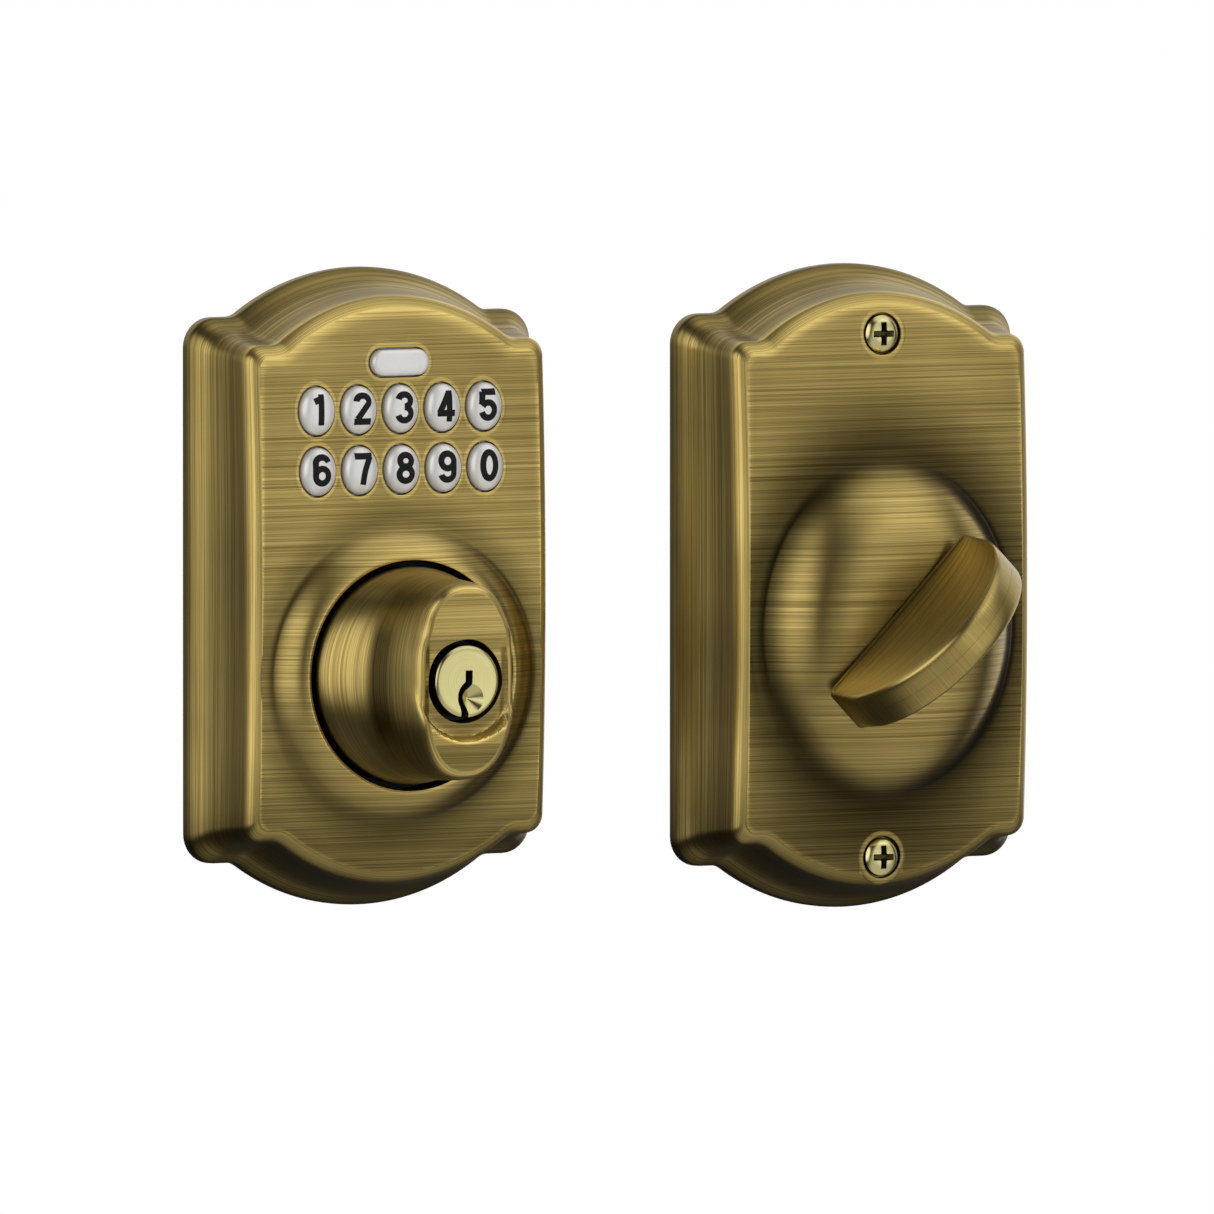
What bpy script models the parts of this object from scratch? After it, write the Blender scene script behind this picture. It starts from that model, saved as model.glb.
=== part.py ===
"""Keypad smart lock: an exterior keypad half and an interior thumbturn half.

Both halves stand side by side with their backs on the plane y = 0 and their faces
towards -Y.  Each half is modelled under an empty whose own axes are u (to the right),
v (up) and d (depth from the door plane towards the face), so a point is (u, v, d).
"""
import bpy
import bmesh
from math import atan2, cos, pi, radians, sin, sqrt
from mathutils import Matrix, Vector

MM = 0.001

# Outline of each half: (half width, half height) at the door plane
EXTERIOR_SIZE = (38.9 * MM, 63.5 * MM)
INTERIOR_SIZE = (38.6 * MM, 64.4 * MM)
HALF_SPACING = 110.7 * MM
INTERIOR_DROP = 3.1 * MM       # the interior half stands this much lower
ARCH_DROP = 9.2 * MM          # apex of the arch above the shoulder
ARCH_RADIUS = 48.0 * MM
FILLET_RADIUS = 4.0 * MM      # concave turn between shoulder and arch
CORNER_RADIUS = 6.0 * MM
MIN_CORNER_RADIUS = 2.5 * MM
CORNER_SHRINK = 0.5           # change of the corner and fillet radii for each unit of inset
FILLET_GROWTH = 0.2

# Wall profile from the door plane to the face: (inset, depth)
WALL_PROFILE = [(0.0, 0.0), (0.0, 1.7), (1.0, 3.6), (3.0, 7.0), (4.3, 11.6), (4.9, 16.6),
                (5.9, 18.7), (7.3, 19.6)]
FACE_INSET = 7.3 * MM
FACE_DEPTH = 19.6 * MM
CROWN = 2.0 * MM              # the face falls away by this much at CROWN_SPAN
CROWN_SPAN = 54.0 * MM
WALL = 1.5 * MM               # casting thickness
GAP = 0.3 * MM

# Exterior knob, its raised ring and the lock cylinder
KNOB_AXIS_V = -16.7 * MM
KNOB_HOLE_RADIUS = 22.9 * MM
RING_DEPTH = 23.8 * MM
RING_FOOT_RADIUS = 30.2 * MM
RING_PROFILE = [(1.0, 0.0), (0.94, 0.16), (0.87, 0.58), (0.81, 0.9), (0.758, 1.0)]
KNOB_SLEEVE_RADIUS = 14.5 * MM
KNOB_SLEEVE_BORE = 11.9 * MM
KNOB_SLEEVE_BACK = 6.0 * MM
KNOB_FRONT_DEPTH = 45.8 * MM
POCKET_RADIUS = 8.4 * MM
# Grip sections: (half width, half height, depth, superellipse power)
GRIP_SECTIONS = [(21.6, 21.6, 21.0, 2.0), (21.6, 21.6, 24.4, 2.0), (20.9, 21.2, 25.3, 2.0),
                 (17.8, 20.7, 27.2, 2.0), (14.6, 20.3, 30.4, 2.05), (12.4, 20.1, 34.6, 2.15),
                 (11.4, 19.9, 39.5, 2.3), (11.0, 19.6, 44.4, 2.4), (10.2, 18.8, 45.7, 2.4)]
HOUSING_RADIUS = 11.5 * MM
HOUSING_NOSE_RADIUS = 8.0 * MM
HOUSING_STEP_DEPTH = 27.0 * MM
HOUSING_NOSE_DEPTH = 41.0 * MM
PLUG_RADIUS = 6.35 * MM
PLUG_HEAD_RADIUS = 7.2 * MM
PLUG_FACE_DEPTH = 46.2 * MM
KEYWAY_WIDTH = 1.3 * MM
KEYWAY_HEIGHT = 9.4 * MM
TAILPIECE_REACH = 52.0 * MM   # behind the door plane

# Keypad
KEY_PITCH = 9.5 * MM
KEY_ROWS_V = (36.1 * MM, 24.1 * MM)
KEY_HALF = (3.8 * MM, 4.75 * MM)
KEY_PROUD = 2.0 * MM
KEY_FLANGE = 0.6 * MM
PILL_V = 45.3 * MM
PILL_HALF = (6.4 * MM, 2.6 * MM)
MEMBRANE_DEPTH = (12.5 * MM, 13.5 * MM)
BOARD_DEPTH = (10.3 * MM, 11.9 * MM)
RETAINER_DEPTH = (8.4 * MM, 9.9 * MM)
KEYPAD_V = (15.5 * MM, 47.4 * MM)
KEYPAD_HALF_U = 24.4 * MM
BOSS_RADIUS = 2.4 * MM
SCREW_RADIUS = 1.2 * MM
CORNER_BOSS = (28.3 * MM, 43.0 * MM)
BOARD_BOSS = (28.3 * MM, 30.0 * MM)

# Plates, posts and bolts behind both halves
PLATE_INSET = 4.9 * MM
PLATE_THICKNESS = 2.0 * MM
GASKET_INSETS = (1.8 * MM, 4.6 * MM)
GASKET_THICKNESS = 1.9 * MM
BOLT_OFFSET = 19.0 * MM
THROUGH_BOLT_REACH = 27.0 * MM

# Interior dome, thumbturn, screws and battery
TURN_AXIS_V = -7.7 * MM
DOME_HALF = (28.4 * MM, 34.0 * MM)
DOME_DEPTH = 30.0 * MM
DOME_PROFILE = [(1.0, 0.0), (0.93, 0.2), (0.83, 0.6), (0.72, 0.87), (0.5, 1.0)]
TURN_HUB_RADIUS = 5.0 * MM
TURN_HALF_LENGTH = 22.7 * MM
TURN_END_HEIGHT = 6.5 * MM
TURN_HEIGHT = 26.3 * MM
TURN_THICKNESS = 10.8 * MM
TURN_REST_ANGLE = 45.0
COVER_SCREWS_V = (51.1 * MM, -53.5 * MM)
COVER_SCREW_HEAD_RADIUS = 3.8 * MM
COVER_SCREW_RADIUS = 2.1 * MM
RECESS_RADIUS = 4.9 * MM
RECESS_DEPTH = 16.3 * MM
BATTERY_U = (-24.2 * MM, 22.0 * MM)
BATTERY_V = (2.0 * MM, 27.5 * MM)
BATTERY_D = (0.5 * MM, 17.0 * MM)

PARTS = "keypad_smart_lock"
CUTTERS = "cutters"

MATERIALS = {
    "antique_brass": ((0.30, 0.23, 0.09), 1.0, 0.36),
    "bright_brass": ((0.72, 0.66, 0.34), 1.0, 0.16),
    "key_satin": ((0.62, 0.60, 0.56), 0.6, 0.35),
    "steel": ((0.55, 0.56, 0.58), 1.0, 0.35),
    "black_plastic": ((0.03, 0.03, 0.03), 0.0, 0.5),
    "white_nylon": ((0.80, 0.79, 0.74), 0.0, 0.45),
    "grey_rubber": ((0.08, 0.08, 0.08), 0.0, 0.8),
    "circuit_board": ((0.02, 0.16, 0.06), 0.0, 0.4),
    "battery_label": ((0.05, 0.05, 0.06), 0.2, 0.3),
}


# ---------------------------------------------------------------- scene helpers

def clear_scene():
    for obj in list(bpy.data.objects):
        bpy.data.objects.remove(obj, do_unlink=True)


def collection(name):
    found = bpy.data.collections.get(name)
    if found is None:
        found = bpy.data.collections.new(name)
        bpy.context.scene.collection.children.link(found)
    return found


def material(name):
    found = bpy.data.materials.get(name)
    if found is None:
        colour, metallic, roughness = MATERIALS[name]
        found = bpy.data.materials.new(name)
        found.use_nodes = True
        shader = found.node_tree.nodes["Principled BSDF"]
        shader.inputs["Base Color"].default_value = (*colour, 1.0)
        shader.inputs["Metallic"].default_value = metallic
        shader.inputs["Roughness"].default_value = roughness
    return found


def half_frame(name, x, z):
    """Empty whose local axes are u, v and d."""
    empty = bpy.data.objects.new(name, None)
    empty.location = (x, 0, z)
    empty.rotation_euler = (radians(90), 0, 0)
    collection(PARTS).objects.link(empty)
    return empty


def add(name, mesh, half, finish, at=(0, 0, 0)):
    """A sub-part whose mesh is measured from the point `at` of its half."""
    obj = bpy.data.objects.new(name, mesh)
    collection(PARTS).objects.link(obj)
    obj.parent = half
    obj.location = at
    mesh.materials.append(material(finish))
    mesh.shade_smooth()
    mesh.set_sharp_from_angle(angle=radians(35))
    return obj


def join_meshes(name, meshes):
    """One mesh that holds several closed bodies, used as a cutter or as bosses."""
    bm = bmesh.new()
    for mesh in meshes:
        bm.from_mesh(mesh)
    joined = bpy.data.meshes.new(name)
    bm.to_mesh(joined)
    bm.free()
    return joined


def boolean(target, operation, meshes):
    """Cut the bodies from the target, or join them to it, in the target's own space."""
    label = f"{target.name}_{operation.lower()}"
    tool = bpy.data.objects.new(label, join_meshes(label, meshes))
    collection(CUTTERS).objects.link(tool)
    tool.parent = target.parent
    tool.location = target.location
    tool.hide_render = True
    tool.display_type = "WIRE"
    modifier = target.modifiers.new(label, "BOOLEAN")
    modifier.operation = operation
    modifier.solver = "EXACT"
    modifier.object = tool


# ---------------------------------------------------------------- mesh makers

def loft(name, rings, closed=False):
    """Skin through rings of equal length: a closed loop of rings, or capped at both ends."""
    bm = bmesh.new()
    loops = [[bm.verts.new(point) for point in ring] for ring in rings]
    count = len(rings[0])
    spans = len(loops) if closed else len(loops) - 1
    for k in range(spans):
        near = loops[k]
        far = loops[(k + 1) % len(loops)]
        for i in range(count):
            j = (i + 1) % count
            bm.faces.new((near[i], near[j], far[j], far[i]))
    if not closed:
        bm.faces.new(loops[0])
        bm.faces.new(loops[-1])
    bmesh.ops.recalc_face_normals(bm, faces=bm.faces)
    mesh = bpy.data.meshes.new(name)
    bm.to_mesh(mesh)
    bm.free()
    return mesh


def oval(half_u, half_v, depth, power=2.0, count=40, centre=(0, 0)):
    """Superellipse ring; a power of 2 is a plain ellipse."""
    ring = []
    for i in range(count):
        angle = 2 * pi * i / count
        c = cos(angle)
        s = sin(angle)
        u = half_u * abs(c) ** (2 / power) * (1 if c > 0 else -1)
        v = half_v * abs(s) ** (2 / power) * (1 if s > 0 else -1)
        ring.append((centre[0] + u, centre[1] + v, depth))
    return ring


def stadium(half_u, half_v, depth, centre, count=20):
    """Ring with straight top and bottom edges and round ends."""
    straight = half_u - half_v
    ring = []
    for i in range(count):
        angle = 2 * pi * (i + 0.5) / count
        side = straight if cos(angle) > 0 else -straight
        ring.append((centre[0] + side + half_v * cos(angle), centre[1] + half_v * sin(angle), depth))
    return ring


def box(name, low, high):
    """Axis-aligned block between two corners."""
    bm = bmesh.new()
    size = [high[k] - low[k] for k in range(3)]
    centre = [(high[k] + low[k]) / 2 for k in range(3)]
    matrix = Matrix.Translation(centre) @ Matrix.Diagonal((*size, 1.0))
    bmesh.ops.create_cube(bm, size=1.0, matrix=matrix)
    mesh = bpy.data.meshes.new(name)
    bm.to_mesh(mesh)
    bm.free()
    return mesh


def cylinder(name, radius, low, high, centre=(0, 0), segments=20):
    """Cylinder along d."""
    bm = bmesh.new()
    matrix = Matrix.Translation((centre[0], centre[1], (low + high) / 2))
    bmesh.ops.create_cone(bm, cap_ends=True, segments=segments, radius1=radius, radius2=radius,
                          depth=high - low, matrix=matrix)
    mesh = bpy.data.meshes.new(name)
    bm.to_mesh(mesh)
    bm.free()
    return mesh


def stepped_cutter(profile, centre, segments):
    """Cutter for a round hole whose radius changes with depth."""
    rings = [oval(radius, radius, depth, count=segments, centre=centre) for radius, depth in profile]
    return loft("stepped_hole", rings)


def turned(name, profile, half, finish, at, steps=28, ring=False):
    """Shape turned about the d axis from (radius, depth) points that run down the outer side."""
    mesh = bpy.data.meshes.new(name)
    edges = [(i, i + 1) for i in range(len(profile) - 1)]
    if ring:
        edges.append((len(profile) - 1, 0))
    mesh.from_pydata([(radius, 0, depth) for radius, depth in profile], edges, [])
    obj = add(name, mesh, half, finish, at)
    screw = obj.modifiers.new("turn", "SCREW")
    screw.axis = "Z"
    screw.angle = 2 * pi
    screw.steps = steps
    screw.render_steps = steps
    screw.use_merge_vertices = True
    screw.merge_threshold = 0.00001
    screw.use_smooth_shade = True
    return obj


def washer(name, inner, outer, low, high, half, finish, at, steps=28):
    profile = [(outer, high), (outer, low), (inner, low), (inner, high)]
    return turned(name, profile, half, finish, at, steps, ring=True)


def flat_plate(name, outlines, low, high):
    """Flat plate: the first outline is the edge, the others are holes."""
    curve = bpy.data.curves.new(name, "CURVE")
    curve.dimensions = "2D"
    curve.fill_mode = "BOTH"
    curve.extrude = (high - low) / 2
    for outline in outlines:
        spline = curve.splines.new("POLY")
        spline.points.add(len(outline) - 1)
        for point, (u, v) in zip(spline.points, outline):
            point.co = (u, v, 0, 1)
        spline.use_cyclic_u = True
    source = bpy.data.objects.new(name, curve)
    bpy.context.scene.collection.objects.link(source)
    graph = bpy.context.evaluated_depsgraph_get()
    mesh = bpy.data.meshes.new_from_object(source.evaluated_get(graph))
    bpy.data.objects.remove(source, do_unlink=True)
    bm = bmesh.new()
    bm.from_mesh(mesh)
    bmesh.ops.remove_doubles(bm, verts=bm.verts, dist=0.000001)
    bmesh.ops.translate(bm, verts=bm.verts, vec=(0, 0, (low + high) / 2))
    bmesh.ops.recalc_face_normals(bm, faces=bm.faces)
    bm.to_mesh(mesh)
    bm.free()
    mesh.materials.clear()
    return mesh


def circle(radius, centre, count=24):
    return [(centre[0] + radius * cos(2 * pi * i / count), centre[1] + radius * sin(2 * pi * i / count))
            for i in range(count)]


def rectangle(u_range, v_range):
    return [(u_range[0], v_range[0]), (u_range[1], v_range[0]),
            (u_range[1], v_range[1]), (u_range[0], v_range[1])]


# ---------------------------------------------------------------- outline and face

def arc(centre, radius, start, end, segments):
    """Points of an arc, without its last point."""
    return [(centre[0] + radius * cos(start + (end - start) * i / segments),
             centre[1] + radius * sin(start + (end - start) * i / segments))
            for i in range(segments)]


def outline(size, inset):
    """Arched outline, moved inwards by `inset`, from the middle of the right side round."""
    width = size[0] - inset
    apex = size[1] - inset
    shoulder = apex - ARCH_DROP
    corner = max(CORNER_RADIUS - inset * CORNER_SHRINK, MIN_CORNER_RADIUS)
    fillet = FILLET_RADIUS + inset * FILLET_GROWTH
    arch = ARCH_RADIUS - inset
    arch_centre_v = apex - arch
    rise = shoulder + fillet - arch_centre_v
    fillet_u = sqrt((arch + fillet) ** 2 - rise ** 2)
    meet = atan2(rise, fillet_u)
    side_top = shoulder - corner
    quarter = [(width, side_top * k / 3) for k in range(3)]
    quarter += arc((width - corner, side_top), corner, 0, pi / 2, 3)
    quarter += [(width - corner, shoulder)]
    quarter += arc((fillet_u, shoulder + fillet), fillet, -pi / 2, meet - pi, 2)
    quarter += arc((0, arch_centre_v), arch, meet, pi / 2, 4)
    top = [(0, apex)]
    left = [(-u, v) for u, v in reversed(quarter)]
    upper = quarter + top + left
    lower = [(u, -v) for u, v in reversed(upper[1:-1])]
    return upper + lower


def crown_factor(v):
    return 1 - CROWN / FACE_DEPTH * (v / CROWN_SPAN) ** 2


def face_depth(v):
    return FACE_DEPTH * crown_factor(v)


def wall_ring(size, inset, depth):
    return [(u, v, depth * crown_factor(v)) for u, v in outline(size, inset)]


def face_rings(size, centre_v, half_axes, raised_depth, profile, hole_radius, sink, inset):
    """Rings from the bezel over the crowned face and up the raised oval to its hole.

    `sink` lowers every ring, which gives the inner skin of the casting.
    """
    edge = outline(size, inset)
    rings = []
    directions = [atan2((v - centre_v) / half_axes[1], u / half_axes[0]) for u, v in edge]
    foot = [(half_axes[0] * cos(a), centre_v + half_axes[1] * sin(a)) for a in directions]
    for blend in (0.3, 0.65):
        ring = []
        for (u, v), (foot_u, foot_v) in zip(edge, foot):
            mid_u = u + (foot_u - u) * blend
            mid_v = v + (foot_v - v) * blend
            ring.append((mid_u, mid_v, face_depth(mid_v) - sink))
        rings.append(ring)
    for scale, rise in profile:
        ring = []
        for angle in directions:
            u = half_axes[0] * scale * cos(angle)
            v = centre_v + half_axes[1] * scale * sin(angle)
            ground = face_depth(v)
            ring.append((u, v, ground + (raised_depth - ground) * rise - sink))
        rings.append(ring)
    if hole_radius < half_axes[0] * profile[-1][0] - 0.1 * MM:
        rings.append([(hole_radius * cos(a), centre_v + hole_radius * sin(a), raised_depth - sink)
                      for a in directions])
    return rings


def casting(name, size, centre_v, half_axes, raised_depth, profile, hole_radius):
    """Hollow casting, open at the back, with one round hole in its raised oval."""
    outer = [wall_ring(size, inset * MM, depth * MM) for inset, depth in WALL_PROFILE]
    outer += face_rings(size, centre_v, half_axes, raised_depth, profile, hole_radius, 0, FACE_INSET)
    inner = [wall_ring(size, WALL, 0), wall_ring(size, WALL, 2.4 * MM),
             wall_ring(size, WALL + 4.1 * MM, 9.8 * MM), wall_ring(size, WALL + 5.0 * MM, 16.0 * MM),
             wall_ring(size, WALL + 6.4 * MM, FACE_DEPTH - WALL)]
    inner += face_rings(size, centre_v, half_axes, raised_depth, profile[::2], hole_radius, WALL,
                        WALL + 6.4 * MM)
    return loft(name, outer + inner[::-1], closed=True)


def flat_ring(size, inset, depth):
    return [(u, v, depth) for u, v in outline(size, inset)]


def plate_with_gasket(prefix, plate_name, size, half, holes):
    """Steel door plate with its holes, and the gasket between the plate and the casting's rim."""
    rings = [flat_ring(size, PLATE_INSET, depth) for depth in (0, PLATE_THICKNESS)]
    plate = add(plate_name, loft(plate_name, rings), half, "steel")
    boolean(plate, "DIFFERENCE", holes)
    outer, inner = GASKET_INSETS
    rings = [flat_ring(size, outer, 0), flat_ring(size, outer, GASKET_THICKNESS),
             flat_ring(size, inner, GASKET_THICKNESS), flat_ring(size, inner, 0)]
    name = f"{prefix}_gasket"
    add(name, loft(name, rings, closed=True), half, "grey_rubber")


def plate_hole(radius, centre, segments=16):
    """Cutter for a round hole right through a door plate."""
    return cylinder("hole", radius, -1.0 * MM, PLATE_THICKNESS + 1.0 * MM, centre, segments)


def plate_window(u_range, v_range):
    """Cutter for a rectangular window right through a door plate."""
    return box("window", (u_range[0], v_range[0], -1.0 * MM),
               (u_range[1], v_range[1], PLATE_THICKNESS + 1.0 * MM))


# ---------------------------------------------------------------- exterior half

def key_positions():
    """Digit, u and v of each key: 1 to 5 above, 6 to 0 below."""
    for row, v in enumerate(KEY_ROWS_V):
        for column in range(5):
            digit = (row * 5 + column + 1) % 10
            yield digit, (column - 2) * KEY_PITCH, v


def corner_points():
    return [(sign_u * CORNER_BOSS[0], sign_v * CORNER_BOSS[1]) for sign_u in (-1, 1) for sign_v in (-1, 1)]


def exterior_escutcheon(half):
    radii = (RING_FOOT_RADIUS, RING_FOOT_RADIUS)
    mesh = casting("exterior_escutcheon", EXTERIOR_SIZE, KNOB_AXIS_V, radii, RING_DEPTH, RING_PROFILE,
                   KNOB_HOLE_RADIUS)
    shell = add("exterior_escutcheon", mesh, half, "antique_brass")
    tops = FACE_DEPTH - 2.6 * MM
    bosses = [cylinder("boss", BOSS_RADIUS, PLATE_THICKNESS + GAP, tops, at, 12) for at in corner_points()]
    bosses += [cylinder("boss", BOSS_RADIUS, RETAINER_DEPTH[1] + GAP, tops + 0.6 * MM,
                        (side * BOARD_BOSS[0], BOARD_BOSS[1]), 12) for side in (-1, 1)]
    boolean(shell, "UNION", bosses)
    cuts = [cylinder("bore", SCREW_RADIUS + GAP, 1.0 * MM, 13.0 * MM, at, 12) for at in corner_points()]
    cuts += [cylinder("bore", SCREW_RADIUS + GAP, 9.0 * MM, 15.5 * MM,
                      (side * BOARD_BOSS[0], BOARD_BOSS[1]), 12) for side in (-1, 1)]
    for _, u, v in key_positions():
        rings = [oval(KEY_HALF[0] + GAP, KEY_HALF[1] + GAP, d, count=16, centre=(u, v))
                 for d in (15.0 * MM, 24.0 * MM)]
        cuts.append(loft("key_hole", rings))
    rings = [stadium(PILL_HALF[0] + GAP, PILL_HALF[1] + GAP, d, (0, PILL_V)) for d in (14.0 * MM, 24.0 * MM)]
    cuts.append(loft("pill_hole", rings))
    boolean(shell, "DIFFERENCE", cuts)


def exterior_back(half):
    """Back plate, its screws, the two threaded posts and the cable socket."""
    posts = [(side * BOLT_OFFSET, KNOB_AXIS_V) for side in (-1, 1)]
    holes = [plate_hole(12.6 * MM, (0, KNOB_AXIS_V), 32)]
    holes += [plate_window((-6.5 * MM, 6.5 * MM), (8.8 * MM, 17.8 * MM))]
    holes += [plate_hole(3.5 * MM, at) for at in posts]
    bore = SCREW_RADIUS + GAP
    profile = [(2.9 * MM, -1.0 * MM), (2.9 * MM, 1.1 * MM), (bore, 1.1 * MM), (bore, 3.0 * MM)]
    holes += [stepped_cutter(profile, at, 12) for at in corner_points()]
    plate_with_gasket("exterior", "exterior_back_plate", EXTERIOR_SIZE, half, holes)
    for number, at in enumerate(corner_points(), 1):
        profile = [(0, 10.0 * MM), (SCREW_RADIUS, 10.0 * MM), (SCREW_RADIUS, 0.8 * MM),
                   (2.6 * MM, 0.8 * MM), (2.6 * MM, 0.1 * MM), (0, 0.1 * MM)]
        turned(f"plate_screw_{number}", profile, half, "steel", (*at, 0), 12)
    for name, at in zip(("mounting_post_left", "mounting_post_right"), posts):
        profile = [(0, 5.0 * MM), (4.6 * MM, 5.0 * MM), (4.6 * MM, 2.3 * MM), (3.2 * MM, 2.3 * MM),
                   (3.2 * MM, -16.0 * MM), (2.0 * MM, -16.0 * MM), (2.0 * MM, -2.0 * MM), (0, -2.0 * MM)]
        turned(name, profile, half, "steel", (*at, 0), 16)
    socket = add("cable_socket", box("cable_socket", (-6.1 * MM, 9.2 * MM, 0.4 * MM),
                                     (6.1 * MM, 17.4 * MM, 8.0 * MM)), half, "white_nylon")
    boolean(socket, "DIFFERENCE", [box("mouth", (-4.7 * MM, 10.6 * MM, -1.0 * MM),
                                       (4.7 * MM, 16.0 * MM, 6.4 * MM))])


def keypad(half):
    """Keys, membrane, circuit board with its parts, and the retainer that clamps them."""
    for digit, u, v in key_positions():
        key_body(f"digit_key_{digit}", half, u, v)
    pill_body(half)
    for name, depths, finish in (("keypad_membrane", MEMBRANE_DEPTH, "grey_rubber"),
                                 ("keypad_circuit_board", BOARD_DEPTH, "circuit_board")):
        corners = [(side * KEYPAD_HALF_U, v, d) for side, v, d in zip((-1, 1), KEYPAD_V, depths)]
        add(name, box(name, *corners), half, finish)
    low, high = KEYPAD_V
    ear_u = BOARD_BOSS[0] + 2.5 * MM
    ear_v = BOARD_BOSS[1] + 3.5 * MM
    body_u = KEYPAD_HALF_U + 1.1 * MM
    frame = [(-ear_u, low), (ear_u, low), (ear_u, ear_v), (body_u, ear_v), (body_u, high),
             (-body_u, high), (-body_u, ear_v), (-ear_u, ear_v)]
    window = rectangle((-19.0 * MM, 19.0 * MM), (low + 4.5 * MM, high - 4.5 * MM))
    ear_holes = [circle(SCREW_RADIUS + GAP, (side * BOARD_BOSS[0], BOARD_BOSS[1]), 12) for side in (-1, 1)]
    mesh = flat_plate("board_retainer", [frame, window] + ear_holes, *RETAINER_DEPTH)
    add("board_retainer", mesh, half, "black_plastic")
    for name, side in (("board_screw_left", -1), ("board_screw_right", 1)):
        profile = [(0, 15.0 * MM), (SCREW_RADIUS, 15.0 * MM), (SCREW_RADIUS, 8.1 * MM),
                   (2.1 * MM, 8.1 * MM), (2.1 * MM, 6.9 * MM), (0, 6.9 * MM)]
        turned(name, profile, half, "steel", (side * BOARD_BOSS[0], BOARD_BOSS[1], 0), 12)
    chip = box("control_chip", (-14.0 * MM, 26.0 * MM, 8.5 * MM), (-4.0 * MM, 36.0 * MM, 10.0 * MM))
    add("control_chip", chip, half, "black_plastic")
    profile = [(0, 10.0 * MM), (6.5 * MM, 10.0 * MM), (6.5 * MM, 5.6 * MM), (1.2 * MM, 5.6 * MM),
               (1.2 * MM, 6.6 * MM), (0, 6.6 * MM)]
    turned("piezo_buzzer", profile, half, "black_plastic", (8.5 * MM, 33.0 * MM, 0), 24)


def key_levels(v):
    """Depths of a key's flange bottom, flange top, cap edge and crown for its place on the face."""
    face = face_depth(v)
    flange_top = face - WALL - 0.65 * MM
    return flange_top - 1.2 * MM, flange_top, face + KEY_PROUD * 0.55, face + KEY_PROUD


def key_body(name, half, u, v):
    bottom, flange, edge, top = key_levels(v)
    wide = (KEY_HALF[0] + KEY_FLANGE, KEY_HALF[1] + KEY_FLANGE)
    rings = [oval(*wide, bottom, count=16), oval(*wide, flange, count=16),
             oval(*KEY_HALF, flange, count=16), oval(*KEY_HALF, edge, count=16),
             oval(KEY_HALF[0] * 0.84, KEY_HALF[1] * 0.84, (edge + 2 * top) / 3, count=16),
             oval(KEY_HALF[0] * 0.48, KEY_HALF[1] * 0.48, top, count=16)]
    add(name, loft(name, rings), half, "key_satin", (u, v, 0))


def pill_body(half):
    bottom, flange, edge, top = key_levels(PILL_V)
    wide = (PILL_HALF[0] + KEY_FLANGE, PILL_HALF[1] + KEY_FLANGE)
    slim = (PILL_HALF[0] - 0.7 * MM, PILL_HALF[1] - 0.7 * MM)
    rings = [stadium(*wide, bottom, (0, 0)), stadium(*wide, flange, (0, 0)),
             stadium(*PILL_HALF, flange, (0, 0)), stadium(*PILL_HALF, edge - 0.5 * MM, (0, 0)),
             stadium(*slim, top - 0.6 * MM, (0, 0))]
    add("pill_button", loft("pill_button", rings), half, "key_satin", (0, PILL_V, 0))


def knob_group(half):
    """Turn knob with its retaining ring, and the fixed plate that carries it."""
    axis = (0, KNOB_AXIS_V, 0)
    count = 32
    back = KNOB_SLEEVE_BACK
    bore = HOUSING_STEP_DEPTH + 0.4 * MM
    groove = (8.0 * MM, 12.0 * MM)
    sleeve = [(KNOB_SLEEVE_RADIUS, back), (KNOB_SLEEVE_RADIUS, groove[0]), (13.0 * MM, groove[0]),
              (13.0 * MM, groove[1]), (KNOB_SLEEVE_RADIUS, groove[1]), (KNOB_SLEEVE_RADIUS, 20.6 * MM)]
    rings = [oval(radius, radius, depth, count=count) for radius, depth in sleeve]
    rings += [oval(a * MM, b * MM, d * MM, power, count) for a, b, d, power in GRIP_SECTIONS]
    rings += [oval(9.6 * MM, 9.6 * MM, KNOB_FRONT_DEPTH, count=count),
              oval(POCKET_RADIUS, POCKET_RADIUS, 44.6 * MM, count=count),
              oval(POCKET_RADIUS, POCKET_RADIUS, bore, count=count),
              oval(KNOB_SLEEVE_BORE, KNOB_SLEEVE_BORE, bore, count=count),
              oval(KNOB_SLEEVE_BORE, KNOB_SLEEVE_BORE, back, count=count)]
    add("turn_knob", loft("turn_knob", rings, closed=True), half, "antique_brass", axis)
    inner = KNOB_SLEEVE_RADIUS + GAP
    washer("knob_retaining_ring", inner, 17.5 * MM, 12.6 * MM, 13.9 * MM, half, "steel", axis)
    washer("knob_bearing_plate", inner, 25.5 * MM, 14.3 * MM, 16.6 * MM, half, "steel", axis)


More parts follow.
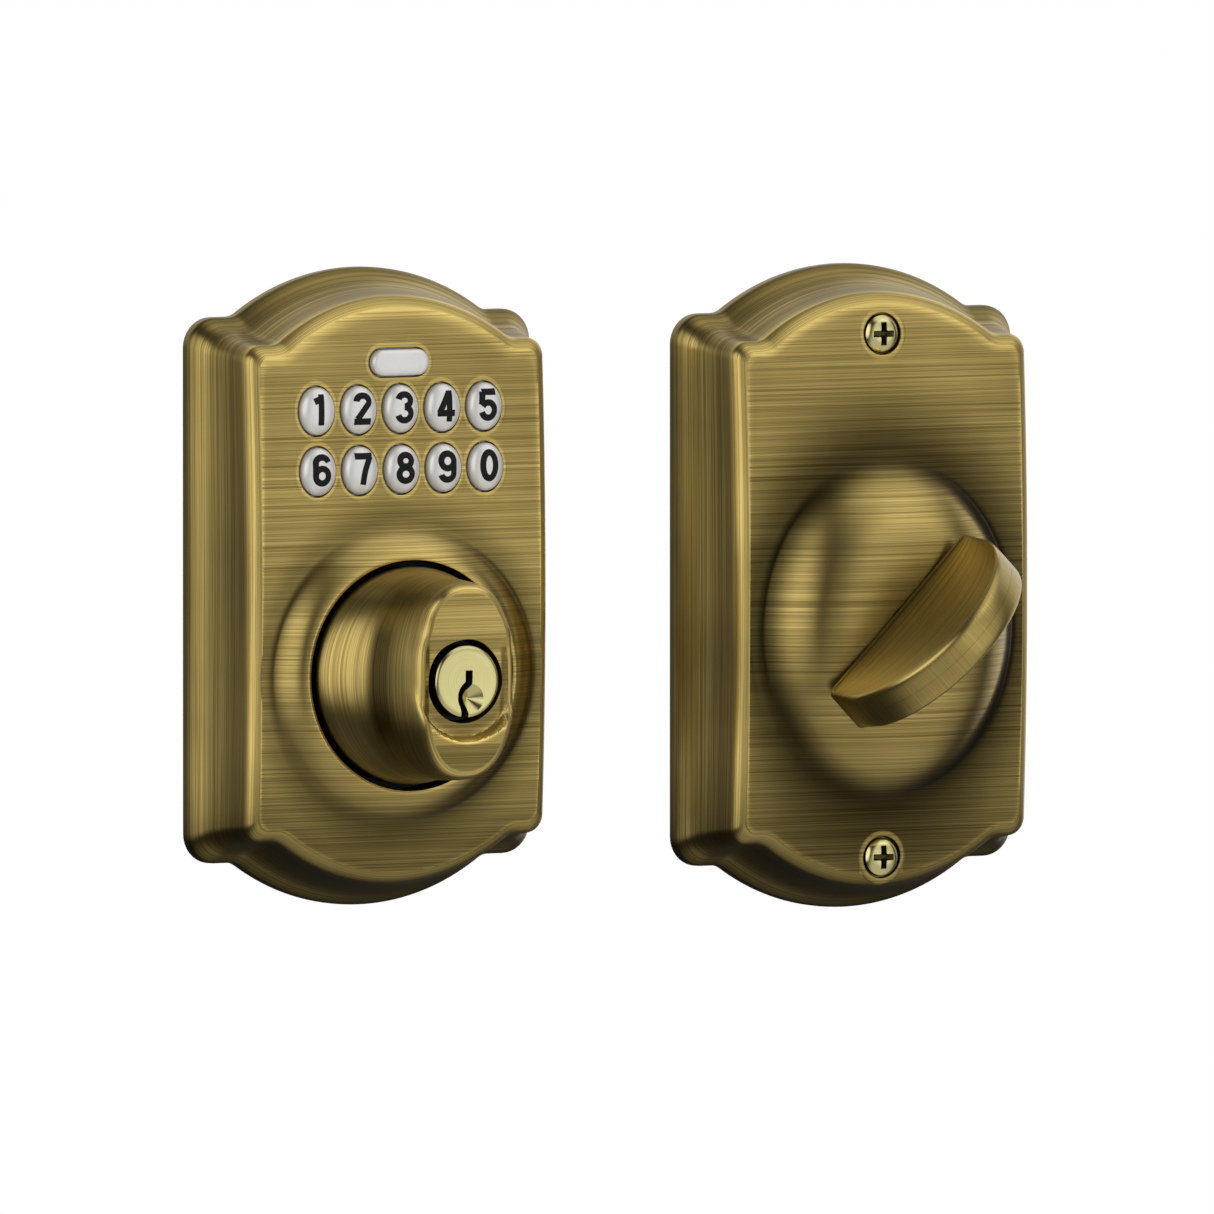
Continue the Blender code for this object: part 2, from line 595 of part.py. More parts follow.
def cylinder_group(half):
    """Fixed cylinder housing, key plug, drive cam, tailpiece and its clip."""
    axis = (0, KNOB_AXIS_V, 0)
    back = 6.2 * MM
    bore = PLUG_RADIUS + GAP
    profile = [(HOUSING_NOSE_RADIUS, HOUSING_NOSE_DEPTH), (HOUSING_NOSE_RADIUS, HOUSING_STEP_DEPTH),
               (HOUSING_RADIUS, HOUSING_STEP_DEPTH), (HOUSING_RADIUS, back), (bore, back),
               (bore, HOUSING_NOSE_DEPTH)]
    turned("cylinder_housing", profile, half, "bright_brass", axis, 32, ring=True)
    front = PLUG_FACE_DEPTH
    profile = [(0, front), (PLUG_HEAD_RADIUS - 0.5 * MM, front), (PLUG_HEAD_RADIUS, front - 0.5 * MM),
               (PLUG_HEAD_RADIUS, 41.4 * MM), (PLUG_RADIUS, 41.4 * MM), (PLUG_RADIUS, back), (0, back)]
    plug = turned("key_plug", profile, half, "bright_brass", axis, 32)
    low = -PLUG_HEAD_RADIUS - 1.0 * MM
    keyway = box("keyway", (-KEYWAY_WIDTH / 2, low, 18.0 * MM),
                 (KEYWAY_WIDTH / 2, low + KEYWAY_HEIGHT + 1.0 * MM, front + 1.0 * MM))
    boolean(plug, "DIFFERENCE", [keyway])
    disc = cylinder("drive_cam", 10.8 * MM, 1.4 * MM, 5.8 * MM, segments=28)
    cam = add("drive_cam", disc, half, "steel", axis)
    slot = (1.5 * MM, 3.3 * MM)
    boolean(cam, "DIFFERENCE", [box("slot", (-slot[0] - GAP, -slot[1] - GAP, 0),
                                    (slot[0] + GAP, slot[1] + GAP, 7.0 * MM))])
    blade = box("tailpiece", (-slot[0], -slot[1], -TAILPIECE_REACH), (slot[0], slot[1], 5.6 * MM))
    add("tailpiece", blade, half, "steel", axis)
    clip = add("tailpiece_clip", cylinder("tailpiece_clip", 6.0 * MM, -0.4 * MM, 0.9 * MM, segments=20),
               half, "steel", axis)
    boolean(clip, "DIFFERENCE", [box("slot", (-slot[0] - GAP, -slot[1] - GAP, -2 * MM),
                                     (slot[0] + GAP, slot[1] + GAP, 2 * MM))])


def actuator_group(half):
    """Electric actuator below the knob and the pin that it pushes into the sleeve's groove."""
    block = add("lock_actuator", box("lock_actuator", (-9.0 * MM, -51.0 * MM, 4.0 * MM),
                                     (9.0 * MM, -34.5 * MM, 13.8 * MM)), half, "black_plastic")
    pin_depth = 10.0 * MM
    pin_tip = KNOB_AXIS_V - KNOB_SLEEVE_RADIUS - GAP
    pin_length = 9.5 * MM
    bore = box("bore", (-1.8 * MM, pin_tip - pin_length - 2.0 * MM, pin_depth - 1.8 * MM),
               (1.8 * MM, -30.0 * MM, pin_depth + 1.8 * MM))
    boolean(block, "DIFFERENCE", [bore])
    bm = bmesh.new()
    matrix = Matrix.Translation((0, -pin_length / 2, 0)) @ Matrix.Rotation(radians(90), 4, "X")
    bmesh.ops.create_cone(bm, cap_ends=True, segments=16, radius1=1.5 * MM, radius2=1.5 * MM,
                          depth=pin_length, matrix=matrix)
    mesh = bpy.data.meshes.new("locking_pin")
    bm.to_mesh(mesh)
    bm.free()
    add("locking_pin", mesh, half, "steel", (0, pin_tip, pin_depth))


# ---------------------------------------------------------------- interior half

def interior_cover(half):
    mesh = casting("interior_cover", INTERIOR_SIZE, TURN_AXIS_V, DOME_HALF, DOME_DEPTH, DOME_PROFILE,
                   TURN_HUB_RADIUS + GAP)
    shell = add("interior_cover", mesh, half, "antique_brass")
    places = [(0, v) for v in COVER_SCREWS_V]
    boolean(shell, "UNION", [cylinder("boss", 6.6 * MM, 6.0 * MM, 17.2 * MM, at, 24) for at in places])
    hole = COVER_SCREW_RADIUS + GAP
    profile = [(hole, 4.0 * MM), (hole, RECESS_DEPTH), (RECESS_RADIUS, RECESS_DEPTH),
               (RECESS_RADIUS, 22.0 * MM)]
    cuts = [stepped_cutter(profile, at, 24) for at in places]
    boolean(shell, "DIFFERENCE", cuts)


def cover_screw(name, half, v):
    seat = RECESS_DEPTH + GAP
    profile = [(0, seat + 2.0 * MM), (1.9 * MM, seat + 1.75 * MM), (3.2 * MM, seat + 1.1 * MM),
               (COVER_SCREW_HEAD_RADIUS, seat), (COVER_SCREW_RADIUS, seat),
               (COVER_SCREW_RADIUS, 0.6 * MM), (0, 0.6 * MM)]
    screw = turned(name, profile, half, "bright_brass", (0, v, 0), 24)
    long = 1.9 * MM
    slim = 0.4 * MM
    arm = [(long, -slim), (long, slim), (slim, slim)]
    cross = arm + [(-v, u) for u, v in arm] + [(-u, -v) for u, v in arm] + [(v, -u) for u, v in arm]
    rings = [[(u, v, depth) for u, v in cross] for depth in (seat + 0.9 * MM, seat + 3.0 * MM)]
    boolean(screw, "DIFFERENCE", [loft("cross", rings)])


def interior_plate(half):
    """Support plate and the two bolts that go through the door."""
    bolts = [(side * BOLT_OFFSET, TURN_AXIS_V) for side in (-1, 1)]
    holes = [plate_window((-27.4 * MM, 29.0 * MM), (1.1 * MM, 29.6 * MM))]
    holes += [plate_hole(6.4 * MM, (0, TURN_AXIS_V), 20)]
    holes += [plate_hole(2.8 * MM, at) for at in bolts]
    holes += [plate_hole(COVER_SCREW_RADIUS + GAP, (0, v)) for v in COVER_SCREWS_V]
    plate_with_gasket("interior", "support_plate", INTERIOR_SIZE, half, holes)
    for name, at in zip(("through_bolt_left", "through_bolt_right"), bolts):
        profile = [(0, 5.2 * MM), (2.6 * MM, 4.9 * MM), (4.0 * MM, 3.8 * MM), (4.2 * MM, 2.3 * MM),
                   (2.4 * MM, 2.3 * MM), (2.4 * MM, -THROUGH_BOLT_REACH), (0, -THROUGH_BOLT_REACH)]
        turned(name, profile, half, "steel", (*at, 0), 16)


def battery_group(half):
    """Battery in an open frame, with its snap contact plate."""
    low = (BATTERY_U[0], BATTERY_V[0], BATTERY_D[0])
    high = (BATTERY_U[1], BATTERY_V[1], BATTERY_D[1])
    battery = add("battery_9v", box("battery_9v", low, high), half, "battery_label")
    middle = (BATTERY_D[0] + BATTERY_D[1]) / 2
    snaps = []
    for v in (8.5 * MM, 21.0 * MM):
        snaps.append(box("snap", (BATTERY_U[1] - 1.0 * MM, v - 3.0 * MM, middle - 3.0 * MM),
                         (BATTERY_U[1] + 2.0 * MM, v + 3.0 * MM, middle + 3.0 * MM)))
    boolean(battery, "UNION", snaps)
    contact = box("battery_contact", (BATTERY_U[1] + 2.4 * MM, 4.0 * MM, 3.0 * MM),
                  (BATTERY_U[1] + 4.4 * MM, 25.5 * MM, 14.0 * MM))
    add("battery_contact", contact, half, "black_plastic")
    inner = rectangle((BATTERY_U[0] - GAP, BATTERY_U[1] + 4.8 * MM), (BATTERY_V[0] - GAP, BATTERY_V[1] + GAP))
    wall = 1.2 * MM
    outer = rectangle((BATTERY_U[0] - GAP - wall, BATTERY_U[1] + 4.8 * MM + wall),
                      (BATTERY_V[0] - GAP - wall, BATTERY_V[1] + GAP + wall))
    mesh = flat_plate("battery_holder", [outer, inner], PLATE_THICKNESS + GAP, 12.0 * MM)
    add("battery_holder", mesh, half, "black_plastic")


def thumbturn_group(half):
    """Half-moon thumbturn with its hub, spindle, spring washer, clip and bushing."""
    axis = (0, TURN_AXIS_V, 0)
    base = DOME_DEPTH + GAP
    length = TURN_HALF_LENGTH
    rise = TURN_HEIGHT - TURN_END_HEIGHT
    rim_radius = (length ** 2 + rise ** 2) / (2 * rise)
    sweep = atan2(length, rim_radius - rise)
    rim_centre = (0, base + TURN_HEIGHT - rim_radius)
    profile = [(-length, base), (length, base)]
    profile += arc(rim_centre, rim_radius, pi / 2 - sweep, pi / 2 + sweep, 14)
    profile += [(-length, base + TURN_END_HEIGHT)]
    mesh = flat_plate("thumbturn", [profile], -TURN_THICKNESS / 2, TURN_THICKNESS / 2)
    for vertex in mesh.vertices:
        above = (vertex.co.y - base) / TURN_HEIGHT
        vertex.co.z *= 1 - 0.26 * above
    along = Vector((1, 0, 0))
    out = Vector((0, 0, 1))
    across = along.cross(out)
    turn = Matrix.Rotation(radians(TURN_REST_ANGLE), 4, "Z")
    mesh.transform(turn @ Matrix((along, out, across)).transposed().to_4x4())
    blade = add("thumbturn", mesh, half, "antique_brass", axis)
    bevel = blade.modifiers.new("edges", "BEVEL")
    bevel.width = 0.9 * MM
    bevel.segments = 2
    bevel.limit_method = "ANGLE"
    bevel.angle_limit = radians(40)
    boolean(blade, "UNION", [cylinder("hub", TURN_HUB_RADIUS, 20.0 * MM, base + 3.0 * MM, segments=24)])
    profile = [(0, 19.7 * MM), (4.0 * MM, 19.7 * MM), (4.0 * MM, 3.0 * MM), (2.7 * MM, 3.0 * MM),
               (2.7 * MM, 13.0 * MM), (0, 13.0 * MM)]
    turned("thumbturn_spindle", profile, half, "steel", axis, 20)
    inner = TURN_HUB_RADIUS + GAP
    washer("spindle_clip", inner, 8.6 * MM, 20.6 * MM, 21.6 * MM, half, "steel", axis, 20)
    washer("spring_washer", inner, 8.0 * MM, 22.0 * MM, 23.4 * MM, half, "steel", axis, 20)
    washer("thumbturn_bushing", inner, 9.5 * MM, 23.8 * MM, 28.2 * MM, half, "white_nylon", axis, 24)


def main():
    clear_scene()
    exterior = half_frame("exterior_frame", 0, 0)
    interior = half_frame("interior_frame", HALF_SPACING, -INTERIOR_DROP)
    exterior_escutcheon(exterior)
    exterior_back(exterior)
    keypad(exterior)
    knob_group(exterior)
    cylinder_group(exterior)
    actuator_group(exterior)
    interior_cover(interior)
    for name, v in zip(("cover_screw_top", "cover_screw_bottom"), COVER_SCREWS_V):
        cover_screw(name, interior, v)
    interior_plate(interior)
    battery_group(interior)
    thumbturn_group(interior)


main()
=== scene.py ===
"""Looks of the keypad smart lock: castings, knob, keys and thumbturn rebuilt finely, and every finish.

Points are written as (u, v, d) in millimetres, as the halves are: u to the right, v up and d from
the door plane towards the face.  A half's u is measured from its own centre line.
"""
from math import atan2, cos, pi, radians, sin, sqrt

import bmesh
import bpy
import numpy as np
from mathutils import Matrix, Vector


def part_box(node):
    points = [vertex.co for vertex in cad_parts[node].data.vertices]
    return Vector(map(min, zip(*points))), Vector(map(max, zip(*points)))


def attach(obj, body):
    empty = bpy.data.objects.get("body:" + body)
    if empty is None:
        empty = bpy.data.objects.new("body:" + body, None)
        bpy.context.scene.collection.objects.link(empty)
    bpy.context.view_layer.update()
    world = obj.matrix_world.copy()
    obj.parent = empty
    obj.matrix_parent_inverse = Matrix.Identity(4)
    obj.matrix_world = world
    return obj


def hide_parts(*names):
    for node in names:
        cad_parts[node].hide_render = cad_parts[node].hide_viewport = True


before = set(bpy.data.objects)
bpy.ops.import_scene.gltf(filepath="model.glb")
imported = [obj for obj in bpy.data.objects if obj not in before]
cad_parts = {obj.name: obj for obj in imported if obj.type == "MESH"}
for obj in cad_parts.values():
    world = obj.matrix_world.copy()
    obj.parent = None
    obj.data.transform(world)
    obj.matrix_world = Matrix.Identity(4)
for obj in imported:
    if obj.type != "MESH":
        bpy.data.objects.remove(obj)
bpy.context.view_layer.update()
MM = 0.001
UV_PER_MM = 0.01

# Half width and half height of each half, and x and z of its own centre
EXTERIOR_SIZE = (38.9, 63.5)
INTERIOR_SIZE = (38.6, 64.4)
EXTERIOR = (0.0, 0.0)
INTERIOR = (110.7, -3.1)

# Arched outline, and how its corners change towards the face
ARCH_DROP = 9.2
ARCH_RADIUS = 48.0
FILLET_RADIUS = 4.0
CORNER_RADIUS = 6.0
MIN_CORNER_RADIUS = 2.5
CORNER_SHRINK = 0.5
FILLET_GROWTH = 0.2
FACE_INSET = 7.3
FACE_DEPTH = 19.6
CROWN = 2.0                    # the face is this much lower at CROWN_SPAN from its middle
CROWN_SPAN = 54.0
WALL = 1.5

# Wall from the door plane to the face: inset, depth and tone (below 0 patina, and painted shade at the base
# and in the cove; above 0 wear, and painted highlight along the bezel)
WALL_PROFILE = [(0.0, 0.0, -0.45), (0.0, 1.5, -0.45), (0.1, 2.1, -0.35), (0.35, 2.7, -0.3),
                (1.0, 3.6, -0.25), (2.0, 5.0, 0.05), (3.0, 7.0, 0.0), (4.0, 10.6, -0.12),
                (4.7, 14.8, -0.35), (4.9, 16.6, -0.05), (5.1, 17.7, 0.55), (5.9, 18.8, 0.35),
                (6.7, 19.3, 0.25), (7.15, 19.5, 0.65), (7.3, 19.6, 0.65)]
# Inside of the wall from the face back to the door plane: inset past the wall, and depth
INNER_PROFILE = [(6.4, FACE_DEPTH - WALL), (5.0, 16.0), (4.1, 9.8), (0.0, 2.4), (0.0, 0.0)]

# Raised oval of each half: its middle, half sizes and depth
KNOB_V = -16.7
KNOB_RING_HALF = (30.2, 30.2)
KNOB_RING_DEPTH = 23.8
TURN_V = -7.7
DOME_HALF = (28.4, 34.0)
DOME_DEPTH = 30.0

# Knob and plug
SLEEVE_RADIUS = 11.9
TRACK_RADIUS = 14.5            # outside of the knob's sleeve
KNOB_RADIUS = 21.6
KNOB_FRONT = 45.8
KNOB_BORE = 8.25
PLUG_FACE = 46.2

# Keypad
GAP = 0.3
FLANGE = 0.6                   # the keys' hidden rim stands out this far
KEY_PITCH = 9.5
KEY_ROWS_V = (36.1, 24.1)
KEY_HALF = (3.8, 4.75)
PILL_V = 45.3
PILL_HALF = (6.4, 2.6)
STROKE = 0.65                  # half the width of a digit's lines
DIGIT_RISE = 0.35              # digits sit this far above the middle of their keys

# Interior half's screws and thumbturn
COVER_SCREWS_V = (51.1, -53.5)
SCREW_HOLE = 4.15
SCREW_SEAT = 16.6
TURN_ANGLE = 45.0              # the thumbturn at rest, lower left to upper right

# Depths between which a cutter passes through a face
THROUGH_FACE = (14.0, 24.0)


# ---------------------------------------------------------------- meshes

def smooth(points, rounds=2):
    """Rounds the corners of a row of points, which keeps its two ends."""
    points = np.array(points, float)
    for _ in range(rounds):
        near = points[:-1] * 0.75 + points[1:] * 0.25
        far = points[:-1] * 0.25 + points[1:] * 0.75
        middle = np.stack([near, far], axis=1).reshape(-1, points.shape[1])
        points = np.vstack([points[:1], middle, points[-1:]])
    return points


def oval(half_u, half_v, depth, power=2.0, count=96, centre=(0.0, 0.0)):
    """Superellipse ring; a power of 2 is a plain ellipse."""
    ring = []
    for i in range(count):
        angle = 2 * pi * i / count
        c, s = cos(angle), sin(angle)
        u = half_u * abs(c) ** (2 / power) * (1 if c > 0 else -1)
        v = half_v * abs(s) ** (2 / power) * (1 if s > 0 else -1)
        ring.append((centre[0] + u, centre[1] + v, depth))
    return ring


def stadium(half_u, half_v, depth, centre, count=64):
    """Ring with straight top and bottom edges and round ends."""
    straight = half_u - half_v
    ring = []
    for i in range(count):
        angle = 2 * pi * (i + 0.5) / count
        side = straight if cos(angle) > 0 else -straight
        ring.append((centre[0] + side + half_v * cos(angle), centre[1] + half_v * sin(angle), depth))
    return ring


def arc(centre, radius, start, end, segments):
    """Points of an arc, without its last point."""
    return [(centre[0] + radius * cos(start + (end - start) * i / segments),
             centre[1] + radius * sin(start + (end - start) * i / segments)) for i in range(segments)]


def loft(name, rings, place=EXTERIOR, closed=False, tones=None, slots=None):
    """Skin through rings of equal length, capped at both ends or closed on itself.

    Every vertex keeps where it lies across and along the brushing as the attribute "brush", the
    UV map "flow" gives the brushing's direction, and "tone" says how worn or dark the place is,
    painted shade and painted highlights included.
    `tones` has a value or a row of values for each ring, and `slots` a material index for each;
    where that is 1 the brushing runs straight across the face.
    """
    rings = np.array(rings, float)
    spans, count = rings.shape[:2]
    steps = np.linalg.norm(np.diff(rings, axis=0), axis=2).mean(axis=1)
    across = np.concatenate([[0.0], np.cumsum(steps)])
    widths = np.linalg.norm(np.roll(rings, -1, axis=1) - rings, axis=2).mean(axis=0)
    along = np.concatenate([[0.0], np.cumsum(widths)])
    turn = 2 * pi * along[:-1] / along[-1]
    radius = along[-1] / (2 * pi)
    points = rings.reshape(-1, 3)
    world = np.stack([points[:, 0] + place[0], -points[:, 2], points[:, 1] + place[1]], axis=1) * MM
    faces = []
    spots = []
    bands = []
    for j in range(spans if closed else spans - 1):
        k = (j + 1) % spans
        for i in range(count):
            n = (i + 1) % count
            faces.append((j * count + i, j * count + n, k * count + n, k * count + i))
            bands.append(j)
            if slots is not None and slots[j] == 1:
                spots.append([tuple(points[corner, :2]) for corner in faces[-1]])
            else:
                spots.append([(along[i], across[j]), (along[i + 1], across[j]),
                              (along[i + 1], across[k]), (along[i], across[k])])
    if not closed:
        for j in (0, spans - 1):
            faces.append(tuple(range(j * count, (j + 1) * count)))
            spots.append([tuple(points[j * count + i, :2]) for i in range(count)])
            bands.append(j)
    mesh = bpy.data.meshes.new(name)
    mesh.from_pydata(world.tolist(), [], faces)
    brush = mesh.attributes.new("brush", "FLOAT_VECTOR", "POINT")
    where = np.zeros((spans, count, 3))
    where[:, :, 0] = across[:, None]
    where[:, :, 1] = radius * np.cos(turn)
    where[:, :, 2] = radius * np.sin(turn)
    brush.data.foreach_set("vector", (where * MM).ravel())
    if tones is not None:
        tone = mesh.attributes.new("tone", "FLOAT", "POINT")
        values = [row if hasattr(row, "__len__") else [row] * count for row in tones]
        tone.data.foreach_set("value", np.array(values, float).ravel())
    uv = mesh.uv_layers.new(name="flow")
    uv.data.foreach_set("uv", np.array([spot for face in spots for spot in face]).ravel() * UV_PER_MM)
    if slots is not None:
        mesh.polygons.foreach_set("material_index", [slots[j] for j in bands])
    bm = bmesh.new()
    bm.from_mesh(mesh)
    bmesh.ops.recalc_face_normals(bm, faces=bm.faces)
    bm.to_mesh(mesh)
    bm.free()
    return mesh


def cut(mesh, operation, tools):
    """The mesh after an exact Boolean with the tools, which are joined first."""
    target = bpy.data.objects.new("target", mesh)
    tool = bpy.data.objects.new("tool", join(tools))
    for obj in (target, tool):
        bpy.context.scene.collection.objects.link(obj)
        while len(obj.data.materials) < 2:
            obj.data.materials.append(None)
    modifier = target.modifiers.new("cut", "BOOLEAN")
    modifier.operation = operation
    modifier.solver = "EXACT"
    modifier.object = tool
    graph = bpy.context.evaluated_depsgraph_get()
    result = bpy.data.meshes.new_from_object(target.evaluated_get(graph))
    for obj in (target, tool):
        bpy.data.objects.remove(obj)
    return result


def join(meshes):
    """One mesh of several, which stay separate shells."""
    bm = bmesh.new()
    for mesh in meshes:
        bm.from_mesh(mesh)
    joined = bpy.data.meshes.new("joined")
    bm.to_mesh(joined)
    bm.free()
    return joined


def piece(name, mesh, body, finishes, nodes=(), sharp=32):
    """Puts a finished mesh in the scene, on its body, in place of its CAD nodes."""
    mesh.name = name
    obj = bpy.data.objects.new(name, mesh)
    bpy.context.scene.collection.objects.link(obj)
    indices = np.zeros(len(mesh.polygons), np.int32)
    mesh.polygons.foreach_get("material_index", indices)
    mesh.materials.clear()
    for finish in finishes:
        mesh.materials.append(finish)
    mesh.polygons.foreach_set("material_index", np.minimum(indices, len(finishes) - 1))
    mesh.shade_smooth()
    mesh.set_sharp_from_angle(angle=radians(sharp))
    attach(obj, body)
    if nodes:
        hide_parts(*nodes)
    return obj


# ---------------------------------------------------------------- castings

def fade(value, low, high):
    """0 below `low`, 1 above `high`, and smooth between them."""
    t = min(max((value - low) / (high - low), 0.0), 1.0)
    return t * t * (3 - 2 * t)


def outline(size, inset):
    """Arched outline, moved inwards by `inset`, from the middle of the right side round."""
    width = size[0] - inset
    apex = size[1] - inset
    shoulder = apex - ARCH_DROP
    corner = max(CORNER_RADIUS - inset * CORNER_SHRINK, MIN_CORNER_RADIUS)
    fillet = FILLET_RADIUS + inset * FILLET_GROWTH
    arch = ARCH_RADIUS - inset
    arch_v = apex - arch
    rise = shoulder + fillet - arch_v
    fillet_u = sqrt((arch + fillet) ** 2 - rise ** 2)
    meet = atan2(rise, fillet_u)
    side_top = shoulder - corner
    quarter = [(width, side_top * k / 14) for k in range(14)]
    quarter += arc((width - corner, side_top), corner, 0, pi / 2, 9)
    quarter += [(width - corner, shoulder)]
    quarter += arc((fillet_u, shoulder + fillet), fillet, -pi / 2, meet - pi, 8)
    quarter += arc((0, arch_v), arch, meet, pi / 2, 20)
    left = [(-u, v) for u, v in reversed(quarter)]
    upper = quarter + [(0, apex)] + left
    return upper + [(u, -v) for u, v in reversed(upper[1:-1])]


def crown_factor(v):
    return 1 - CROWN / FACE_DEPTH * (v / CROWN_SPAN) ** 2


def face_depth(v):
    return FACE_DEPTH * crown_factor(v)


def wall_ring(size, inset, depth):
    return [(u, v, depth * crown_factor(v)) for u, v in outline(size, inset)]


def casting(size, place, centre_v, half, raised, profile, hole, foot_shade, reach, low_shade):
    """Hollow casting with one raised oval; its walls are brushed along the edge, its face across.

    `profile` rises from the face to the depth `raised` over the oval with half sizes `half`, as
    scale, share of the rise and tone; `hole` goes on inwards as radius, drop and tone.  Painted
    shade darkens the face round the oval's foot, by `foot_shade` within `reach`, and towards the bottom,
    by `low_shade`.
    """
    steps = 16
    # Worn edge and painted highlight along the face's edge by the bezel
    wear_and_highlight = 0.34
    def patina_and_shade(tone, ring, lift=0.0):
        shades = []
        for u, v, _ in ring:
            away = max(sqrt((u / half[0]) ** 2 + ((v - centre_v) / half[1]) ** 2) - 1, 0.0) * half[0]
            # Painted shade on the face round the oval's foot
            painted_foot_shade = foot_shade * (1 - fade(away, 0.0, reach)) * (1 - fade(lift, 0.05, 0.5))
            # Painted shade: the face darker towards the bottom
            low = low_shade * fade(-v, 24.0, 56.0) * (1 - 0.6 * lift)
            flat_patina = 0.13 * (1 - lift)
            shades.append((1 + tone) * (1 - flat_patina) * (1 - painted_foot_shade) * (1 - low) - 1)
        return shades

    rings = []
    tones = []
    for inset, depth, tone in smooth(WALL_PROFILE):
        rings.append(wall_ring(size, inset, depth))
        # Painted shade: the walls darker towards the bottom
        low_shades = [low_shade * fade(-v, 30.0, 60.0) for _, v, _ in rings[-1]]
        tones.append([(1 + tone) * (1 - low) - 1 for low in low_shades])
    walls = len(rings) - 1
    edge = outline(size, FACE_INSET)
    directions = [atan2((v - centre_v) / half[1], u / half[0]) for u, v in edge]
    foot_scale = profile[0][0]
    for k in range(1, steps):
        blend = k / steps
        ring = []
        for (u, v), a in zip(edge, directions):
            mid_u = u + (half[0] * foot_scale * cos(a) - u) * blend
            mid_v = v + (centre_v + half[1] * foot_scale * sin(a) - v) * blend
            ring.append((mid_u, mid_v, face_depth(mid_v)))
        rings.append(ring)
        tones.append(patina_and_shade(wear_and_highlight * max(0.0, 1 - k / 1.5), ring))
    for scale, lift, tone in smooth(profile):
        ring = []
        for a in directions:
            v = centre_v + half[1] * scale * sin(a)
            ground = face_depth(v)
            ring.append((half[0] * scale * cos(a), v, ground + (raised - ground) * lift))
        rings.append(ring)
        tones.append(patina_and_shade(tone, ring, lift))
    for radius, drop, tone in hole:
        rings.append([(radius * cos(a), centre_v + radius * sin(a), raised - drop) for a in directions])
        tones.append(tone)
    faces = len(rings) - 1
    back_scale = (half[0] - 2 * WALL) / half[0]
    rings.append([(half[0] * back_scale * cos(a), centre_v + half[1] * back_scale * sin(a),
                   face_depth(centre_v) - WALL) for a in directions])
    for inset, depth in INNER_PROFILE:
        rings.append(wall_ring(size, WALL + inset, depth))
    tones += [-0.3] * (len(rings) - len(tones))
    slots = [1 if walls <= j < faces else 0 for j in range(len(rings))]
    return loft("casting", rings, place, closed=True, tones=tones, slots=slots)


def lip(ring, centre, place, rise, width, reach, base=0.0):
    """Rounded lip round a hole, `reach` deep: `ring(grow)` gives the hole's edge grown by that much."""
    section = [(width, -0.3), (width, -0.03), (width * 0.8, rise * 0.3), (width * 0.5, rise * 0.9),
               (width * 0.25, rise), (0.06, rise * 0.4), (0.0, -0.5), (0.0, -reach), (0.3, -reach)]
    rows = [[(centre[0] + u, centre[1] + v, face_depth(centre[1] + v) + lift) for u, v in ring(grow)]
            for grow, lift in smooth(section, 1)]
    shares = [k / len(rows) for k in range(len(rows))]
    # Painted highlight on the lip's crest and painted shade down inside the hole
    tones = [base + 0.38 * fade(share, 0.1, 0.4) - 1.2 * fade(share, 0.66, 0.8) for share in shares]
    return loft("lip", rows, place, closed=True, tones=tones, slots=[1] * len(rows))


def keys():
    """Digit, u and v of each key: 1 to 5 above, 6 to 0 below."""
    for row, v in enumerate(KEY_ROWS_V):
        for column in range(5):
            yield (row * 5 + column + 1) % 10, (column - 2) * KEY_PITCH, v


def flat_oval(half_u, half_v):
    """A hole's edge for lip(): an ellipse round the origin, grown as asked."""
    return lambda grow: [(u, v) for u, v, _ in oval(half_u + grow, half_v + grow, 0, count=64)]


def flat_stadium(half_u, half_v):
    """A hole's edge for lip(): a stadium round the origin, grown as asked."""
    return lambda grow: [(u, v) for u, v, _ in stadium(half_u + grow, half_v + grow, 0, (0, 0))]


def exterior_escutcheon(finishes):
    # Ring tones: painted highlight along the ring's top edge; the hole's tones go near black down into the
    # gap round the knob, painted shade
    profile = [(1.06, 0.0, 0.0), (1.02, 0.012, 0.0), (0.985, 0.07, 0.0), (0.955, 0.2, 0.06),
               (0.925, 0.38, 0.12), (0.89, 0.58, 0.16), (0.855, 0.76, 0.16), (0.82, 0.9, 0.16),
               (0.79, 0.98, 0.2), (0.776, 1.0, 0.3), (0.766, 0.985, 0.45)]
    hole = [(22.98, 0.12, 0.4), (22.9, 0.4, -0.3), (22.9, 0.9, -0.96), (22.9, 6.6, -0.98)]
    mesh = casting(EXTERIOR_SIZE, EXTERIOR, KNOB_V, KNOB_RING_HALF, KNOB_RING_DEPTH, profile, hole,
                   foot_shade=0.45, reach=7.0, low_shade=0.6)
    rise, width, reach = 0.09, 1.1, 2.0
    tools = []
    lips = []
    half_u, half_v = KEY_HALF
    for _, u, v in keys():
        rings = [oval(half_u + FLANGE, half_v + FLANGE, d, count=48, centre=(u, v)) for d in THROUGH_FACE]
        tools.append(loft("hole", rings))
        lips.append(lip(flat_oval(half_u + GAP, half_v + GAP), (u, v), EXTERIOR, rise, width, reach))
    half_u, half_v = PILL_HALF
    rings = [stadium(half_u + FLANGE, half_v + FLANGE, d, (0, PILL_V)) for d in THROUGH_FACE]
    tools.append(loft("hole", rings))
    lips.append(lip(flat_stadium(half_u + GAP, half_v + GAP), (0, PILL_V), EXTERIOR, rise, width, reach))
    mesh = join([cut(mesh, "DIFFERENCE", tools)] + lips)
    piece("escutcheon_casting", mesh, "root", finishes, ["exterior_escutcheon"])


def screw_seat(v):
    """Washer-shaped floor of a cover screw's hole."""
    outer, inner, back, front = 5.6, 2.5, 15.0, 16.3
    corners = [(outer, back), (outer, front), (inner, front), (inner, back)]
    rings = [oval(r, r, d, count=48, centre=(0, v)) for r, d in corners]
    # Painted shade on the seat at the bottom of the hole
    return loft("seat", rings, INTERIOR, closed=True, tones=[-0.6] * 4)


